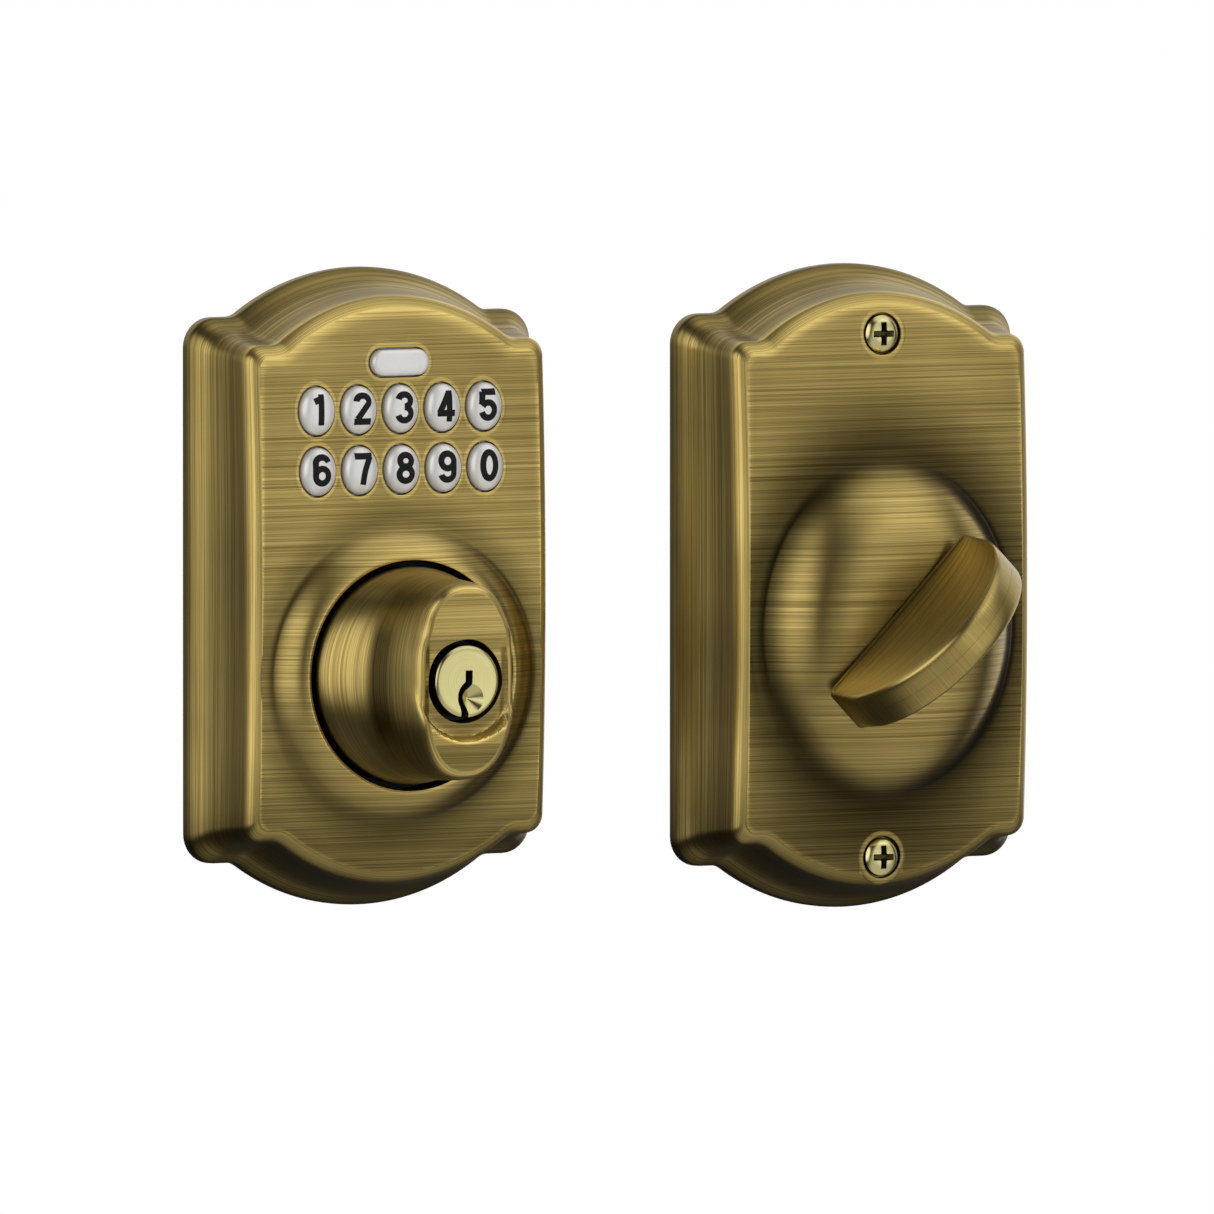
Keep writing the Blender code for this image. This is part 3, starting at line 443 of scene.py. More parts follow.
def interior_cover(finishes):
    # Dome tones: a little brighter on the flank, painted highlight; darker round the hub and down its hole,
    # painted shadow of the thumbturn
    profile = [(1.09, 0.0, 0.0), (1.045, 0.012, 0.0), (1.0, 0.055, 0.0), (0.965, 0.145, 0.05),
               (0.92, 0.28, 0.1), (0.86, 0.45, 0.1), (0.78, 0.62, 0.08), (0.68, 0.78, 0.05),
               (0.56, 0.895, -0.08), (0.42, 0.965, -0.2), (0.3, 0.995, -0.3), (0.24, 1.0, -0.35)]
    hole = [(6.6, 0.0, -0.4), (5.6, 0.0, -0.45), (5.3, 0.3, -0.3), (5.3, 1.5, -0.8)]
    mesh = casting(INTERIOR_SIZE, INTERIOR, TURN_V, DOME_HALF, DOME_DEPTH, profile, hole,
                   foot_shade=0.84, reach=17.0, low_shade=0.64)
    hole_radius = 4.7
    tools = []
    lips = []
    for v in COVER_SCREWS_V:
        rings = [oval(hole_radius, hole_radius, d, count=48, centre=(0, v)) for d in THROUGH_FACE]
        tools.append(loft("hole", rings, INTERIOR))
        # Painted shade: the lower screw's lip is darker
        patina_and_shade = -0.05 if v > 0 else -0.6
        lips.append(lip(flat_oval(SCREW_HOLE, SCREW_HOLE), (0, v), INTERIOR, 0.12, 1.3, 3.0, patina_and_shade))
        lips.append(screw_seat(v))
    mesh = join([cut(mesh, "DIFFERENCE", tools)] + lips)
    piece("interior_casting", mesh, "cover", finishes, ["interior_cover"])


# ---------------------------------------------------------------- knob and cylinder

def dish(u, v):
    """How far the knob's front is dished: straight across above the cylinder, a curved lip below."""
    reach = sqrt(u * u + min(v, 0.0) ** 2)
    share = fade(-reach, -12.1, -11.0) * fade(-v, -9.8, -6.0) * (1 - 0.55 * fade(abs(u), 7.8, 10.2))
    hollow = 0.5 * sin(pi * fade(v, 9.3, 18.5)) if v > 9.3 else 0.0
    return (1.6 + 0.08 * max(-v, 0.0)) * share + hollow + 0.1 * max(0.0, -v - 9.0)


def knob_front(rings, tones):
    """Adds the rings of the knob's front face, from its edge in to the cylinder's bore."""
    edge = np.array(rings[-1])
    rim = np.array(oval(8.4, 8.4, 0.0))
    for blend in np.linspace(0, 1, 34)[1:]:
        ring = [(u, v, KNOB_FRONT) for u, v, _ in edge * (1 - blend) + rim * blend]
        shades = []
        for u, v, _ in ring:
            reach = sqrt(u * u + v * v)
            # Painted highlight on the dish's lower lip; painted shade in the dish below the cylinder and on
            # the lower front
            lip_highlight = fade(reach, 11.2, 11.8) * fade(-reach, -12.7, -12.0) if v < 2 else 0.0
            dark = fade(-reach, -11.6, -9.5) * fade(-v, 1.0, 8.0)
            low = fade(-v, 11.5, 13.0)
            shades.append(0.12 + 1.7 * lip_highlight - 0.6 * dark - 0.6 * low)
        rings.append(ring)
        tones.append(shades)


def turn_knob(finishes):
    # Half width, half height, depth, superellipse power and tone; the tone is near black in the gap round
    # the knob, painted shade, and bright at the front bevel, painted highlight
    sections = [(KNOB_RADIUS, 21.6, 20.6, 2.0, -0.98), (KNOB_RADIUS, 21.6, 22.9, 2.0, -0.98),
                (KNOB_RADIUS, 21.6, 23.5, 2.0, -0.3), (KNOB_RADIUS, 21.6, 24.3, 2.0, 0.1),
                (20.8, 21.2, 25.6, 2.0, 0.1), (18.6, 20.8, 27.9, 2.0, 0.1), (16.2, 20.5, 30.5, 2.0, 0.05),
                (14.7, 20.3, 32.6, 2.05, -0.05), (14.1, 20.2, 34.6, 2.1, -0.05),
                (13.6, 20.1, 36.8, 2.15, -0.05), (12.9, 20.0, 39.2, 2.25, -0.05),
                (12.0, 19.85, 41.6, 2.3, 0.0), (11.4, 19.65, 43.2, 2.38, 0.1), (11.0, 19.4, 44.5, 2.4, 0.4),
                (10.3, 18.8, 45.5, 2.4, 0.45), (9.4, 17.9, KNOB_FRONT, 2.4, 0.1)]
    sleeve = [(SLEEVE_RADIUS, 6.0), (TRACK_RADIUS, 6.0), (TRACK_RADIUS, 8.0), (13.0, 8.0), (13.0, 12.0),
              (TRACK_RADIUS, 12.0), (TRACK_RADIUS, 20.6)]
    rings = [oval(r, r, d) for r, d in sleeve]
    # Painted shade: the sleeve in the gap is near black
    tones = [-0.98] * len(rings)
    for half_u, half_v, d, power, tone in smooth(sections):
        rings.append(oval(half_u, half_v, d, power))
        # Painted shade in the scooped grip, and painted highlight on the knob's top
        scoop_shade = 0.6 * fade(d, 31.0, 33.5) * fade(-d, -40.0, -36.5)
        wear_and_highlight = 0.3 * fade(tone, -0.9, -0.3)
        tones.append([tone - scoop_shade * fade(-abs(v), -14.0, -8.0) + wear_and_highlight * fade(v, 8.0, 16.0)
                      for _, v, _ in rings[-1]])
    flank = len(rings) - 1
    knob_front(rings, tones)
    front = len(rings) - 1
    rings += [oval(KNOB_BORE, KNOB_BORE, d) for d in (44.9, 43.0, 27.4)]
    rings.append(oval(SLEEVE_RADIUS, SLEEVE_RADIUS, 27.4))
    # Painted shade down the cylinder's bore
    tones += [-0.5, -0.97, -0.97, -0.97]
    proud = 1.0
    placed = []
    for ring in rings:
        placed.append([(u, KNOB_V + v, d + (proud - dish(u, v)) * fade(d, 37.0, 44.8)) for u, v, d in ring])
    slots = [1 if flank <= j < front else 0 for j in range(len(rings))]
    mesh = loft("turn_knob", placed, closed=True, tones=tones, slots=slots)
    piece("knob", mesh, "knob", finishes, ["turn_knob"])


def stroke(points, half_width, loop=False):
    """Left and right edge of a line of even width through the points."""
    points = np.array(points, float)
    if loop:
        ahead = np.roll(points, -1, axis=0) - np.roll(points, 1, axis=0)
    else:
        ahead = np.gradient(points, axis=0)
    ahead /= np.linalg.norm(ahead, axis=1)[:, None]
    side = np.stack([-ahead[:, 1], ahead[:, 0]], axis=1) * half_width
    return points + side, points - side


def key_plug(finishes):
    """Plug with a curved keyway cut through its face and a shallow cone beside it."""
    back, flange = 6.2, 41.4
    section = [(6.35, back), (6.35, flange), (7.2, flange), (7.2, 45.5), (7.1, 45.85), (6.75, 46.13)]
    section += [(r, PLUG_FACE) for r in (6.5, 6.0, 4.5, 3.0, 1.5, 0.2)]
    mesh = loft("key_plug", [oval(r, r, d, centre=(0, KNOB_V)) for r, d in section])
    line = smooth([(0.35, 2.2), (0.35, 0.6), (0.3, -0.5), (-0.9, -1.4), (-1.5, -2.9), (-1.0, -4.6),
                   (-0.6, -5.8), (-0.5, -8.6)], 3)
    left, right = stroke(line, 0.8)
    loop = [(u, KNOB_V + v) for u, v in np.vstack([left, right[::-1]])]
    keyway = loft("keyway", [[(u, v, d) for u, v in loop] for d in (20.0, 48.0)], slots=[1] * 2)
    cone = [(0.15, PLUG_FACE - 1.75), (2.9, PLUG_FACE), (4.5, PLUG_FACE + 1.0)]
    dimple = loft("dimple", [oval(r, r, d, count=64, centre=(0.7, KNOB_V - 3.4)) for r, d in cone])
    mesh = cut(mesh, "DIFFERENCE", [keyway])
    mesh = cut(mesh, "DIFFERENCE", [dimple])
    piece("cylinder_plug", mesh, "plug", finishes, ["key_plug"], sharp=24)


# ---------------------------------------------------------------- keys

def key_levels(v):
    """Depths of a key's flange bottom, flange top, cap edge and crown for its place on the face."""
    travel, flange_thickness = 0.65, 1.2
    face = face_depth(v)
    flange_top = face - WALL - travel
    return flange_top - flange_thickness, flange_top, face + 1.1, face + 2.0


def key_dome(u, v, row_v):
    """Depth of a key's cap at a point measured from the key's centre."""
    _, _, edge, top = key_levels(row_v)
    foot = edge - 0.75
    reach = min(sqrt((u / KEY_HALF[0]) ** 2 + (v / KEY_HALF[1]) ** 2), 1.0)
    return foot + (top - foot) * sqrt(1 - reach ** 3.2)


def bend(centre, radii, start, end, count=22):
    """Points of an elliptic arc between two angles in degrees."""
    angles = np.linspace(radians(start), radians(end), count)
    return [(centre[0] + radii[0] * cos(a), centre[1] + radii[1] * sin(a)) for a in angles]


def ellipse(centre, radii, count=24):
    """Points of a whole ellipse, each once."""
    return bend(centre, radii, 0, 345.6, count)


def straight(start, end):
    start, end = np.array(start), np.array(end)
    return [tuple(start + (end - start) * t) for t in np.linspace(0, 1, 12)]


def digit_lines(digit):
    """Centre lines of a condensed digit about 4 by 6 mm: lists of points and whether each is a loop."""
    top, foot = 3.1, -3.1
    bar = 2.58
    bowl, upper = (1.44, 1.33), 1.42
    six = [(ellipse((0, -1.12), (1.42, 1.46)), True),
           (bend((0, 1.35), (1.42, 1.25), 12, 180, 16) + straight((-1.42, 1.2), (-1.42, -1.1))[1:], False)]
    shapes = {
        0: [(ellipse((0, 0), (1.42, bar), 40), True)],
        1: [(straight((0.1, foot), (0.1, top)), False), (straight((-1.4, 1.62), (0.1, 2.2)), False)],
        2: [(bend((0, upper), (1.4, 1.16), 178, -28) + straight((1.1, 0.75), (-1.2, -2.1))[1:], False),
            (straight((-1.85, -bar), (1.9, -bar)), False)],
        3: [(bend((0, 1.38), (1.35, 1.2), 168, -90), False), (bend((0, -1.25), bowl, 90, -168), False)],
        4: [(straight((0.7, foot), (0.7, top)), False), (straight((-1.95, -1.4), (1.95, -1.4)), False),
            (straight((0.55, 2.75), (-1.5, -1.3)), False)],
        5: [(straight((-1.35, bar), (1.75, bar)), False), (straight((-1.2, 2.6), (-1.42, 0.1)), False),
            (bend((0, -1.05), (1.42, 1.53), 150, -166), False)],
        6: six,
        7: [(straight((-1.9, bar), (1.95, bar)), False),
            (smooth([(1.4, 2.4), (0.7, 1.0), (0.1, -0.9), (-0.2, foot)]), False)],
        8: [(ellipse((0, upper), (1.26, 1.16)), True), (ellipse((0, -1.25), bowl), True)],
        9: [([(-u, -v) for u, v in line], loop) for line, loop in six],
    }
    return shapes[digit]


def digit_mark(digit, u, v, finish):
    """Raised digit that follows its key's dome."""
    # Share of the stroke's width from left to right, and height above the dome
    section = [(0, -0.12), (0, 0.03), (0.08, 0.055), (0.35, 0.06), (0.65, 0.06), (0.92, 0.055), (1, 0.03),
               (1, -0.12)]
    solids = []
    for line, loop in digit_lines(digit):
        rings = []
        for left, right in zip(*stroke(line, STROKE, loop)):
            ring = []
            for share, lift in section:
                mark_u, mark_v = left + (right - left) * share + (0.0, DIGIT_RISE)
                ring.append((u + mark_u, v + mark_v, key_dome(mark_u, mark_v, v) + lift))
            rings.append(ring)
        solids.append(loft("stroke", rings, closed=loop))
    piece(f"key_mark_{digit}", join(solids), f"key_{digit}", [finish])


def digit_key(digit, u, v, finish):
    bottom, flange, _, _ = key_levels(v)
    half_u, half_v = KEY_HALF
    rings = [oval(half_u + FLANGE, half_v + FLANGE, d, count=64, centre=(u, v)) for d in (bottom, flange)]
    rings.append(oval(half_u, half_v, flange, count=64, centre=(u, v)))
    for angle in np.linspace(0, 88, 16):
        scale = cos(radians(angle))
        level = oval(half_u * scale, half_v * scale, 0, count=64, centre=(u, v))
        rings.append([(dome_u, dome_v, key_dome(dome_u - u, dome_v - v, v)) for dome_u, dome_v, _ in level])
    mesh = loft("key", rings)
    piece(f"key_cap_{digit}", mesh, f"key_{digit}", [finish], [f"digit_key_{digit}"], sharp=50)


def pill_button(finish):
    bottom, flange, edge, top = key_levels(PILL_V)
    # Growth past the button's outline, and depth
    section = [(FLANGE, bottom), (FLANGE, flange), (0.0, flange), (0.0, edge - 0.7), (-0.02, edge - 0.2),
               (-0.18, edge + 0.05), (-0.5, top - 0.68), (-0.9, top - 0.6), (-1.5, top - 0.58),
               (-2.2, top - 0.58)]
    rings = [stadium(PILL_HALF[0] + grow, PILL_HALF[1] + grow, d, (0, PILL_V)) for grow, d in section]
    piece("status_button", loft("pill", rings), "pill", [finish], ["pill_button"], sharp=50)


# ---------------------------------------------------------------- thumbturn and screws

def footprint(half_length, half_width, corner, count=40):
    """Rounded rectangle round the origin, long along u."""
    corner = min(corner, half_width * 0.98)
    flat_u, flat_v = half_length - corner, half_width - corner
    ring = [(flat_u - 2 * flat_u * k / count, half_width) for k in range(count)]
    ring += arc((-flat_u, flat_v), corner, pi / 2, pi, 6)
    ring += arc((-flat_u, -flat_v), corner, pi, pi * 1.5, 6)
    ring += [(-flat_u + 2 * flat_u * k / count, -half_width) for k in range(count)]
    ring += arc((flat_u, -flat_v), corner, pi * 1.5, pi * 2, 6)
    ring += arc((flat_u, flat_v), corner, 0, pi / 2, 6)
    return ring


def thumbturn(finishes):
    """Half-moon blade on a round hub: its sides, brushed along it, lean in to a rounded rim."""
    length, end, height, half = 22.2, 4.0, 26.3, 5.4
    rise = height - end
    radius = (length ** 2 + rise ** 2) / (2 * rise)
    turn = radians(TURN_ANGLE)
    # Share of the crest's height, share of the half width, inset of the ends and tone; the tone is dark at
    # the foot, painted shade, and bright on the sides and the rim's edge, painted light
    section = smooth([(0.0, 1.0, 0.25, -0.3), (0.01, 1.0, 0.0, 0.1), (0.055, 1.0, 0.0, 0.2),
                      (0.062, 0.985, 0.0, -0.5), (0.08, 0.97, 0.0, 0.6), (0.3, 0.92, 0.0, 1.3),
                      (0.6, 0.855, 0.0, 1.4), (0.87, 0.795, 0.0, 1.4), (0.925, 0.78, 0.05, 1.2),
                      (0.96, 0.74, 0.2, 0.6), (0.985, 0.65, 0.5, 0.1), (0.996, 0.5, 0.9, 0.1),
                      (1.0, 0.25, 1.3, 0.05), (1.0, 0.004, 1.7, 0.05)])
    rim_share = 0.985
    rings = []
    for share, width, inset, _ in section:
        ring = []
        for along, side in footprint(length - inset, half * width, 1.3):
            crest = height - radius + sqrt(radius ** 2 - along ** 2)
            ring.append((along * cos(turn) - side * sin(turn),
                         TURN_V + along * sin(turn) + side * cos(turn), DOME_DEPTH + GAP + crest * share))
        rings.append(ring)
    slots = [1 if share >= rim_share else 0 for share, _, _, _ in section]
    mesh = loft("thumbturn", rings, INTERIOR, tones=[tone for _, _, _, tone in section], slots=slots)
    hub = loft("hub", [oval(5.0, 5.0, d, count=48, centre=(0, TURN_V)) for d in (20.0, 32.0)], INTERIOR)
    mesh = cut(mesh, "UNION", [hub])
    piece("thumbturn_blade", mesh, "turn", finishes, ["thumbturn"])


def cover_screw(name, v, finishes):
    """Domed screw head on its shank, with a cross recess."""
    # Radius, and depth past the seat
    head = [(3.8, 0.0), (3.8, 0.6), (3.7, 1.1), (3.3, 1.55), (2.5, 1.85), (1.4, 1.98), (0.3, 2.0)]
    shank, shank_end = 2.1, 0.6
    section = [(shank, shank_end), (shank, SCREW_SEAT)] + [(r, SCREW_SEAT + rise) for r, rise in head]
    mesh = loft(name, [oval(r, r, d, count=64, centre=(0, v)) for r, d in section], INTERIOR)
    long, slim, root = 2.2, 0.6, 0.75
    arm = [(long, -slim), (long, slim), (root, slim), (slim, root)]
    cross = arm + [(-b, a) for a, b in arm] + [(-a, -b) for a, b in arm] + [(b, -a) for a, b in arm]
    rings = []
    for scale, rise in ((0.6, 0.3), (1.0, 1.6), (1.3, 3.0)):
        rings.append([(a * scale, v + b * scale, SCREW_SEAT + rise) for a, b in cross])
    cutter = loft("cross", rings, INTERIOR, slots=[1] * 3)
    mesh = cut(mesh, "DIFFERENCE", [cutter])
    piece(f"{name}_head", mesh, "cover", finishes, [name], sharp=28)


# ---------------------------------------------------------------- finishes

BUMP_DISTANCE = 0.0001
STREAKS = 2000.0               # brushing lines per metre, before the noise's own scale


class Finish:
    """A material with its node tree and short ways to add nodes.

    A node's inputs are given by socket name, or as i0, i1 and so on by place.
    """

    def __init__(self, name, colour, metallic, roughness):
        self.material = bpy.data.materials.new(name)
        self.material.use_nodes = True
        self.tree = self.material.node_tree
        self.shader = self.tree.nodes["Principled BSDF"]
        self.shader.inputs["Base Color"].default_value = (*colour, 1)
        self.shader.inputs["Metallic"].default_value = metallic
        self.shader.inputs["Roughness"].default_value = roughness

    def node(self, kind, settings=None, **inputs):
        made = self.tree.nodes.new("ShaderNode" + kind)
        for key, value in (settings or {}).items():
            setattr(made, key, value)
        for key, value in inputs.items():
            self.feed(made, key.replace("_", " "), value)
        return made

    def feed(self, node, socket, value):
        by_place = socket[0] == "i" and socket[1:].isdigit()
        target = node.inputs[int(socket[1:]) if by_place else socket]
        if isinstance(value, bpy.types.NodeSocket):
            self.tree.links.new(value, target)
        else:
            target.default_value = value

    def math(self, operation, a, b=0.0):
        return self.node("Math", {"operation": operation}, i0=a, i1=b).outputs[0]

    def scaled(self, vector, factors):
        return self.node("VectorMath", {"operation": "MULTIPLY"}, i0=vector, i1=factors).outputs[0]

    def noise(self, vector, scale, detail=3.0, rough=0.6):
        made = self.node("TexNoise", Vector=vector, Scale=scale, Detail=detail, Roughness=rough)
        return made.outputs["Fac"]

    def spread(self, value, low, high, out_low, out_high):
        made = self.node("MapRange", i0=value, i1=low, i2=high, i3=out_low, i4=out_high)
        return made.outputs[0]

    def blend(self, factor, a, b):
        made = self.node("Mix", {"data_type": "RGBA"})
        for socket, value in ((0, factor), (6, a), (7, b)):
            if isinstance(value, bpy.types.NodeSocket):
                self.tree.links.new(value, made.inputs[socket])
            else:
                made.inputs[socket].default_value = value if socket == 0 else (*value, 1)
        return made.outputs[2]

    def bump(self, height, strength):
        made = self.node("Bump", Height=height, Strength=strength, Distance=BUMP_DISTANCE)
        self.tree.links.new(made.outputs[0], self.shader.inputs["Normal"])

    def object_point(self):
        return self.node("TexCoord").outputs["Object"]

    def attribute(self, name):
        return self.node("Attribute", {"attribute_name": name})


def brushed(name, colours, source, roughness=0.34, contrast=1.0, anisotropy=0.72):
    """Brushed metal: long fine streaks, patina and painted shade in low places, wear and painted highlights
    on edges.

    `source` gives the brushing: "across" runs it along X, "edge" along the rings that "brush" tells
    apart, and "rim" square to the thumbturn's length.
    """
    dark, light = colours
    finish = Finish(name, light, 1.0, roughness)
    shader = finish.shader
    shader.inputs["Anisotropic"].default_value = anisotropy
    shader.inputs["Anisotropic Rotation"].default_value = 0.25
    if source == "across":
        place = finish.scaled(finish.object_point(), (5.0, 5.0, STREAKS))
    elif source == "edge":
        place = finish.scaled(finish.attribute("brush").outputs["Vector"], (STREAKS, 8.0, 8.0))
    else:
        turn = radians(TURN_ANGLE)
        along = finish.node("VectorMath", {"operation": "DOT_PRODUCT"}, i0=finish.object_point(),
                            i1=(cos(turn) * STREAKS, 0.0, sin(turn) * STREAKS))
        place = finish.node("CombineXYZ", i0=along.outputs["Value"]).outputs[0]
    fine = finish.noise(place, 3.2, 1.5, 0.6)
    bands = finish.noise(place, 1.1, 1.5, 0.6)
    streak = finish.math("ADD", finish.math("MULTIPLY", fine, 0.62), finish.math("MULTIPLY", bands, 0.38))
    band = 0.12 / contrast
    factor = finish.spread(streak, 0.5 - band, 0.5 + band, 0.0, 1.0)
    metal = finish.blend(factor, dark, light)
    cloud = finish.noise(finish.object_point(), 38.0, 3.0, 0.5)
    shade = finish.spread(cloud, 0.3, 0.7, 0.86, 1.12)
    # The tone attribute darkens or brightens the colour: patina, wear, painted shade and painted highlights
    level = finish.math("MULTIPLY", shade, finish.math("ADD", finish.attribute("tone").outputs["Fac"], 1.0))
    grey = finish.node("CombineXYZ", i0=level, i1=level, i2=level).outputs[0]
    finish.feed(shader, "Base Color", finish.scaled(metal, grey))
    finish.feed(shader, "Roughness", finish.spread(streak, 0.3, 0.7, roughness + 0.07, roughness - 0.07))
    finish.bump(streak, 0.06)
    tangent = finish.node("Tangent", {"direction_type": "UV_MAP", "uv_map": "flow"})
    finish.tree.links.new(tangent.outputs[0], shader.inputs["Tangent"])
    return finish.material


def grained(name, colour, metallic, roughness, scale, vary, bump, stretch=(1.0, 1.0, 1.0)):
    """Cast, moulded or plated surface: fine grain in colour, gloss and relief."""
    finish = Finish(name, colour, metallic, roughness)
    place = finish.scaled(finish.object_point(), stretch)
    grain = finish.noise(place, scale, 4.0, 0.65)
    broad = finish.noise(place, scale * 0.06, 2.0, 0.5)
    both = finish.math("ADD", finish.math("MULTIPLY", grain, 0.6), finish.math("MULTIPLY", broad, 0.4))
    low = tuple(c * (1 - vary) for c in colour)
    high = tuple(min(c * (1 + vary), 1.0) for c in colour)
    factor = finish.spread(both, 0.32, 0.68, 0.0, 1.0)
    gloss = finish.spread(both, 0.3, 0.7, roughness * 0.88, roughness * 1.14)
    finish.feed(finish.shader, "Base Color", finish.blend(factor, low, high))
    finish.feed(finish.shader, "Roughness", gloss)
    finish.bump(grain, bump)
    return finish.material


def board_finish():
    """Circuit board: green mask with lighter copper runs and small round pads."""
    finish = Finish("board_mask", (0.01, 0.11, 0.04), 0.0, 0.35)
    point = finish.object_point()
    runs = finish.node("TexBrick", {"offset": 0.37}, Vector=point, Scale=260.0)
    runs.inputs["Mortar Size"].default_value = 0.012
    pads = finish.node("TexVoronoi", Vector=point, Scale=420.0).outputs["Distance"]
    dots = finish.math("LESS_THAN", pads, 0.16)
    green = finish.blend(runs.outputs["Fac"], (0.008, 0.10, 0.035), (0.03, 0.2, 0.07))
    finish.feed(finish.shader, "Base Color", finish.blend(dots, green, (0.62, 0.56, 0.38)))
    finish.bump(dots, 0.3)
    return finish.material


def battery_finish():
    """Printed battery sleeve: a dark body with a copper-coloured band at one end."""
    finish = Finish("battery_sleeve", (0.03, 0.03, 0.035), 0.3, 0.28)
    point = finish.object_point()
    x = finish.node("SeparateXYZ", i0=point).outputs["X"]
    low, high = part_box("battery_9v")
    seam = low.x + (high.x - low.x) * 0.7
    blur = 0.0002
    band = finish.spread(x, seam - blur, seam + blur, 0.0, 1.0)
    scuff = finish.noise(finish.scaled(point, (1.0, 1.0, 3.0)), 700.0, 4.0, 0.7)
    shade = finish.blend(finish.spread(scuff, 0.35, 0.7, 0.0, 0.4), (0.025, 0.025, 0.03), (0.09, 0.09, 0.1))
    finish.feed(finish.shader, "Base Color", finish.blend(band, shade, (0.42, 0.2, 0.09)))
    finish.feed(finish.shader, "Roughness", finish.spread(scuff, 0.3, 0.7, 0.2, 0.36))
    finish.bump(scuff, 0.1)
    return finish.material


BRASS = ((0.19, 0.136, 0.036), (0.48, 0.365, 0.125))
POLISHED = ((0.52, 0.465, 0.21), (0.58, 0.525, 0.24))
edge_brass = brushed("antique_brass_edge", BRASS, "edge", 0.33, 0.8)
face_brass = brushed("antique_brass_face", BRASS, "across", 0.33, 0.72)
knob_brass = brushed("antique_brass_turned", BRASS, "edge", 0.33, 0.7)
blade_brass = brushed("antique_brass_blade", BRASS, "edge", 0.33, 0.6)
rim_brass = brushed("antique_brass_rim", BRASS, "rim", 0.3, 0.5, 0.0)
bright_brass = brushed("bright_brass", POLISHED, "edge", 0.17, 0.6, 0.2)
key_satin = grained("key_satin", (0.74, 0.725, 0.70), 0.35, 0.36, 1600.0, 0.05, 0.06)
ink = grained("digit_ink", (0.006, 0.006, 0.006), 0.0, 0.6, 2500.0, 0.3, 0.05)
ink.node_tree.nodes["Principled BSDF"].inputs["Specular IOR Level"].default_value = 0.2
# Near black painted shade for the parts in the knob's gap, in place of their own finish
gap_shade_black = grained("painted_gap_shade", (0.02, 0.02, 0.022), 0.6, 0.6, 900.0, 0.2, 0.12)
steel = grained("zinc_steel", (0.50, 0.51, 0.52), 1.0, 0.36, 900.0, 0.18, 0.12, (1.0, 1.0, 4.0))
black_plastic = grained("black_plastic", (0.022, 0.022, 0.023), 0.0, 0.5, 2600.0, 0.25, 0.25)
white_nylon = grained("white_nylon", (0.74, 0.73, 0.68), 0.0, 0.45, 1500.0, 0.05, 0.15)
rubber = grained("grey_rubber", (0.05, 0.05, 0.05), 0.0, 0.82, 1900.0, 0.2, 0.4)
shadowed_brass = grained("shadowed_brass", (0.10, 0.085, 0.035), 1.0, 0.55, 900.0, 0.1, 0.06)
plain_brass = grained("plain_brass", (0.55, 0.49, 0.22), 1.0, 0.3, 900.0, 0.08, 0.06)
board = board_finish()
battery = battery_finish()

exterior_escutcheon([edge_brass, face_brass])
interior_cover([edge_brass, face_brass])
turn_knob([knob_brass, face_brass])
key_plug([bright_brass, shadowed_brass])
for number, key_u, key_v in keys():
    digit_key(number, key_u, key_v, key_satin)
    digit_mark(number, key_u, key_v, ink)
pill_button(key_satin)
thumbturn([blade_brass, rim_brass])
for screw_name, screw_v in zip(("cover_screw_top", "cover_screw_bottom"), COVER_SCREWS_V):
    cover_screw(screw_name, screw_v, [bright_brass, shadowed_brass])

# Materials of the CAD nodes that stay, by the start of their slot's name
KEPT = {
    "steel": steel, "black_plastic": black_plastic, "white_nylon": white_nylon, "grey_rubber": rubber,
    "circuit_board": board, "battery_label": battery, "bright_brass": plain_brass,
}
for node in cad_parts.values():
    if node.hide_render:
        continue
    for index, shown in enumerate(node.data.materials):
        found = [kept for name, kept in KEPT.items() if shown and shown.name.startswith(name)]
        # Parts in the knob's gap take the near black painted shade
        in_gap = node.name.startswith("knob_") or node.name == "cylinder_housing"
        if found:
            node.data.materials[index] = gap_shade_black if in_gap else found[0]


# ---------------------------------------------------------------- floor, light and camera

def direction(azimuth, elevation):
    """Unit vector away from the object; an azimuth of 0 degrees is -Y and of 90 degrees +X."""
    a, e = radians(azimuth), radians(elevation)
    return Vector((sin(a) * cos(e), -cos(a) * cos(e), sin(e)))


# Soft panels of the studio: azimuth, elevation, inner and outer half angle, and brightness
PANELS = [(-62, 12, 22, 38, 1.7), (-116, 8, 8, 32, 0.5), (31, 12, 17, 34, 0.74), (2, 12, 6, 24, 0.32),
          (118, 12, 16, 44, 1.0), (-172, 30, 15, 42, 0.95), (150, 42, 10, 30, 0.3), (44, 54, 16, 42, 1.2),
          (20, -46, 24, 62, 0.9)]
AMBIENT = 0.07


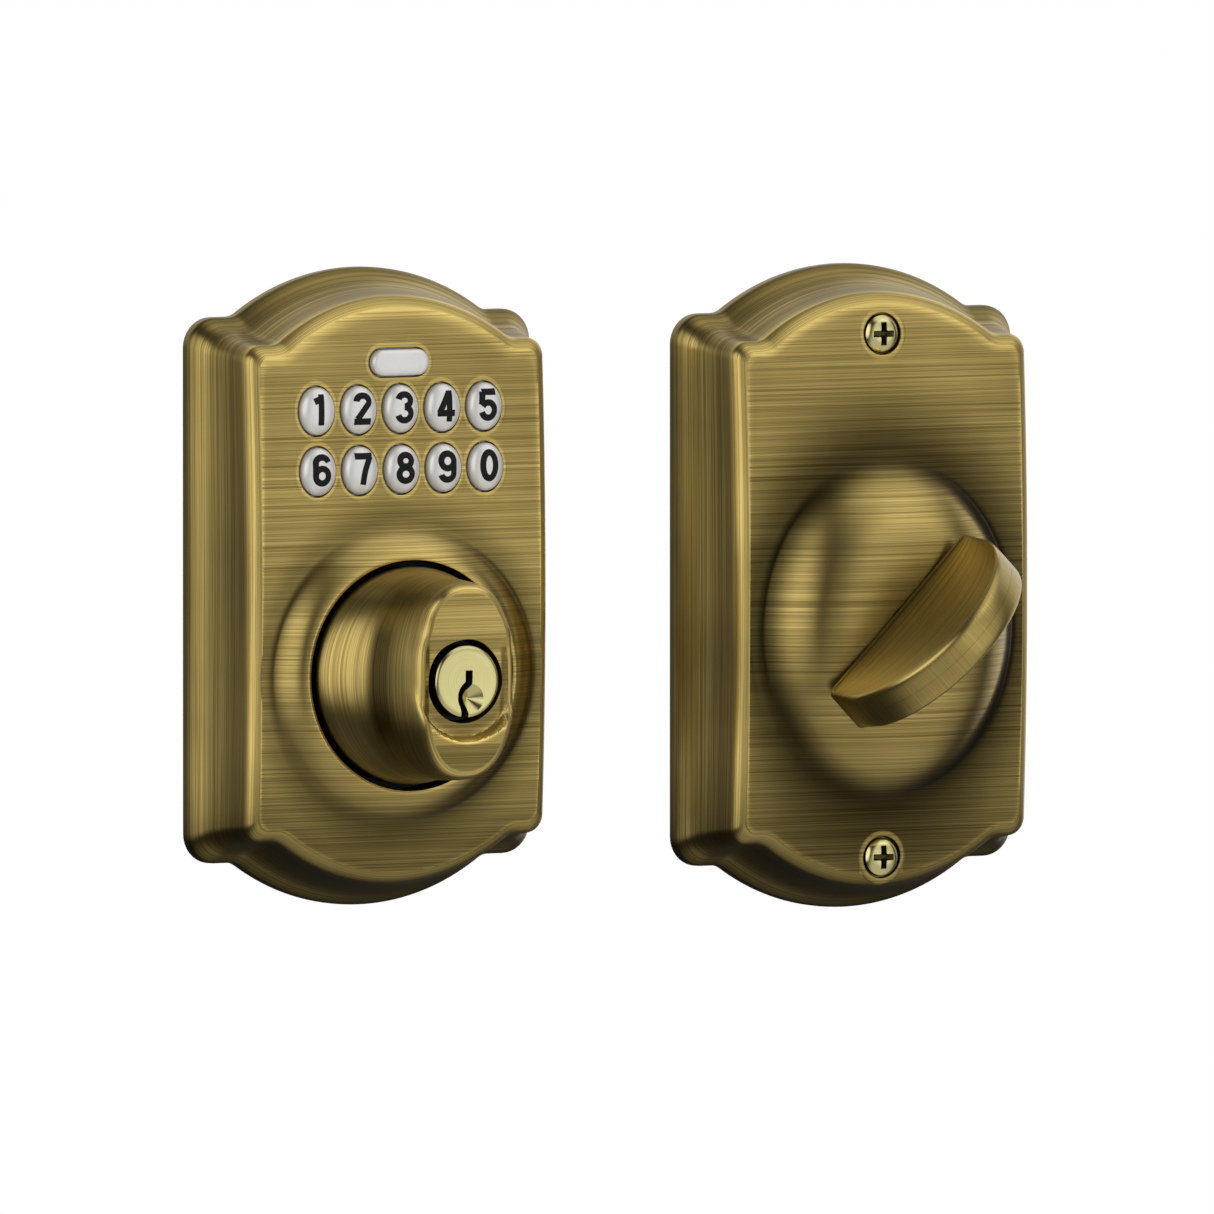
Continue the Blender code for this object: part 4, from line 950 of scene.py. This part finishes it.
def studio_world():
    """Soft studio surround: a dim room with wide soft panels, and plain white behind the object."""
    world = bpy.data.worlds.new("studio")
    bpy.context.scene.world = world
    world.use_nodes = True
    tree = world.node_tree
    tree.nodes.clear()

    def node(kind, inputs, settings=None):
        made = tree.nodes.new("ShaderNode" + kind)
        for key, value in (settings or {}).items():
            setattr(made, key, value)
        for socket, value in inputs.items():
            if isinstance(value, bpy.types.NodeSocket):
                tree.links.new(value, made.inputs[socket])
            else:
                made.inputs[socket].default_value = value
        return made.outputs[0]

    def smoothstep(value, start, end, low, high):
        return node("MapRange", {0: value, 1: start, 2: end, 3: low, 4: high},
                    {"interpolation_type": "SMOOTHSTEP"})

    ray = tree.nodes.new("ShaderNodeTexCoord").outputs["Generated"]
    total = None
    for azimuth, elevation, inner, outer, level in PANELS:
        towards = tree.nodes.new("ShaderNodeVectorMath")
        towards.operation = "DOT_PRODUCT"
        towards.inputs[1].default_value = direction(azimuth, elevation)
        tree.links.new(ray, towards.inputs[0])
        lobe = smoothstep(towards.outputs["Value"], cos(radians(outer)), cos(radians(inner)), 0.0, level)
        total = lobe if total is None else node("Math", {0: total, 1: lobe})
    height = tree.nodes.new("ShaderNodeSeparateXYZ")
    tree.links.new(ray, height.inputs[0])
    lower = smoothstep(height.outputs["Z"], -0.40, 0.03, 0.8, 1.0)
    level = node("Math", {0: node("Math", {0: total, 1: AMBIENT}), 1: lower}, {"operation": "MULTIPLY"})
    room = node("Background", {"Strength": level, "Color": (1, 1, 1, 1)})
    white = node("Background", {"Strength": 1.0, "Color": (1, 1, 1, 1)})
    seen = tree.nodes.new("ShaderNodeLightPath").outputs["Is Camera Ray"]
    mix = node("MixShader", {0: seen, 1: room, 2: white})
    out = tree.nodes.new("ShaderNodeOutputWorld")
    tree.links.new(mix, out.inputs["Surface"])


def floor():
    """Plain pale disc below the object, left out of its reflections."""
    radius, height = 2.2, -0.3
    bm = bmesh.new()
    bmesh.ops.create_circle(bm, cap_ends=True, segments=96, radius=radius)
    mesh = bpy.data.meshes.new("floor")
    bm.to_mesh(mesh)
    bm.free()
    obj = bpy.data.objects.new("floor", mesh)
    obj.location = (INTERIOR[0] / 2 * MM, 0, height)
    obj.visible_glossy = False
    bpy.context.scene.collection.objects.link(obj)
    mesh.materials.append(grained("pale_floor", (0.9, 0.9, 0.89), 0.0, 0.8, 60.0, 0.01, 0.02))


def camera():
    """Long lens from the photo's side, almost level, so that both halves look alike."""
    target = Vector((0.0438, -0.0247, -0.0043))
    view = direction(-29.4, 3.4)
    distance = 11.0
    lens_per_metre = 149.15
    data = bpy.data.cameras.new("camera")
    data.sensor_width = 36.0
    data.lens = lens_per_metre * distance
    data.clip_start, data.clip_end = 0.5, 40.0
    obj = bpy.data.objects.new("camera", data)
    obj.location = target + view * distance
    obj.rotation_euler = (-view).to_track_quat("-Z", "Y").to_euler()
    bpy.context.scene.collection.objects.link(obj)
    bpy.context.scene.camera = obj


studio_world()
floor()
camera()
bpy.context.scene.view_settings.view_transform = "Standard"
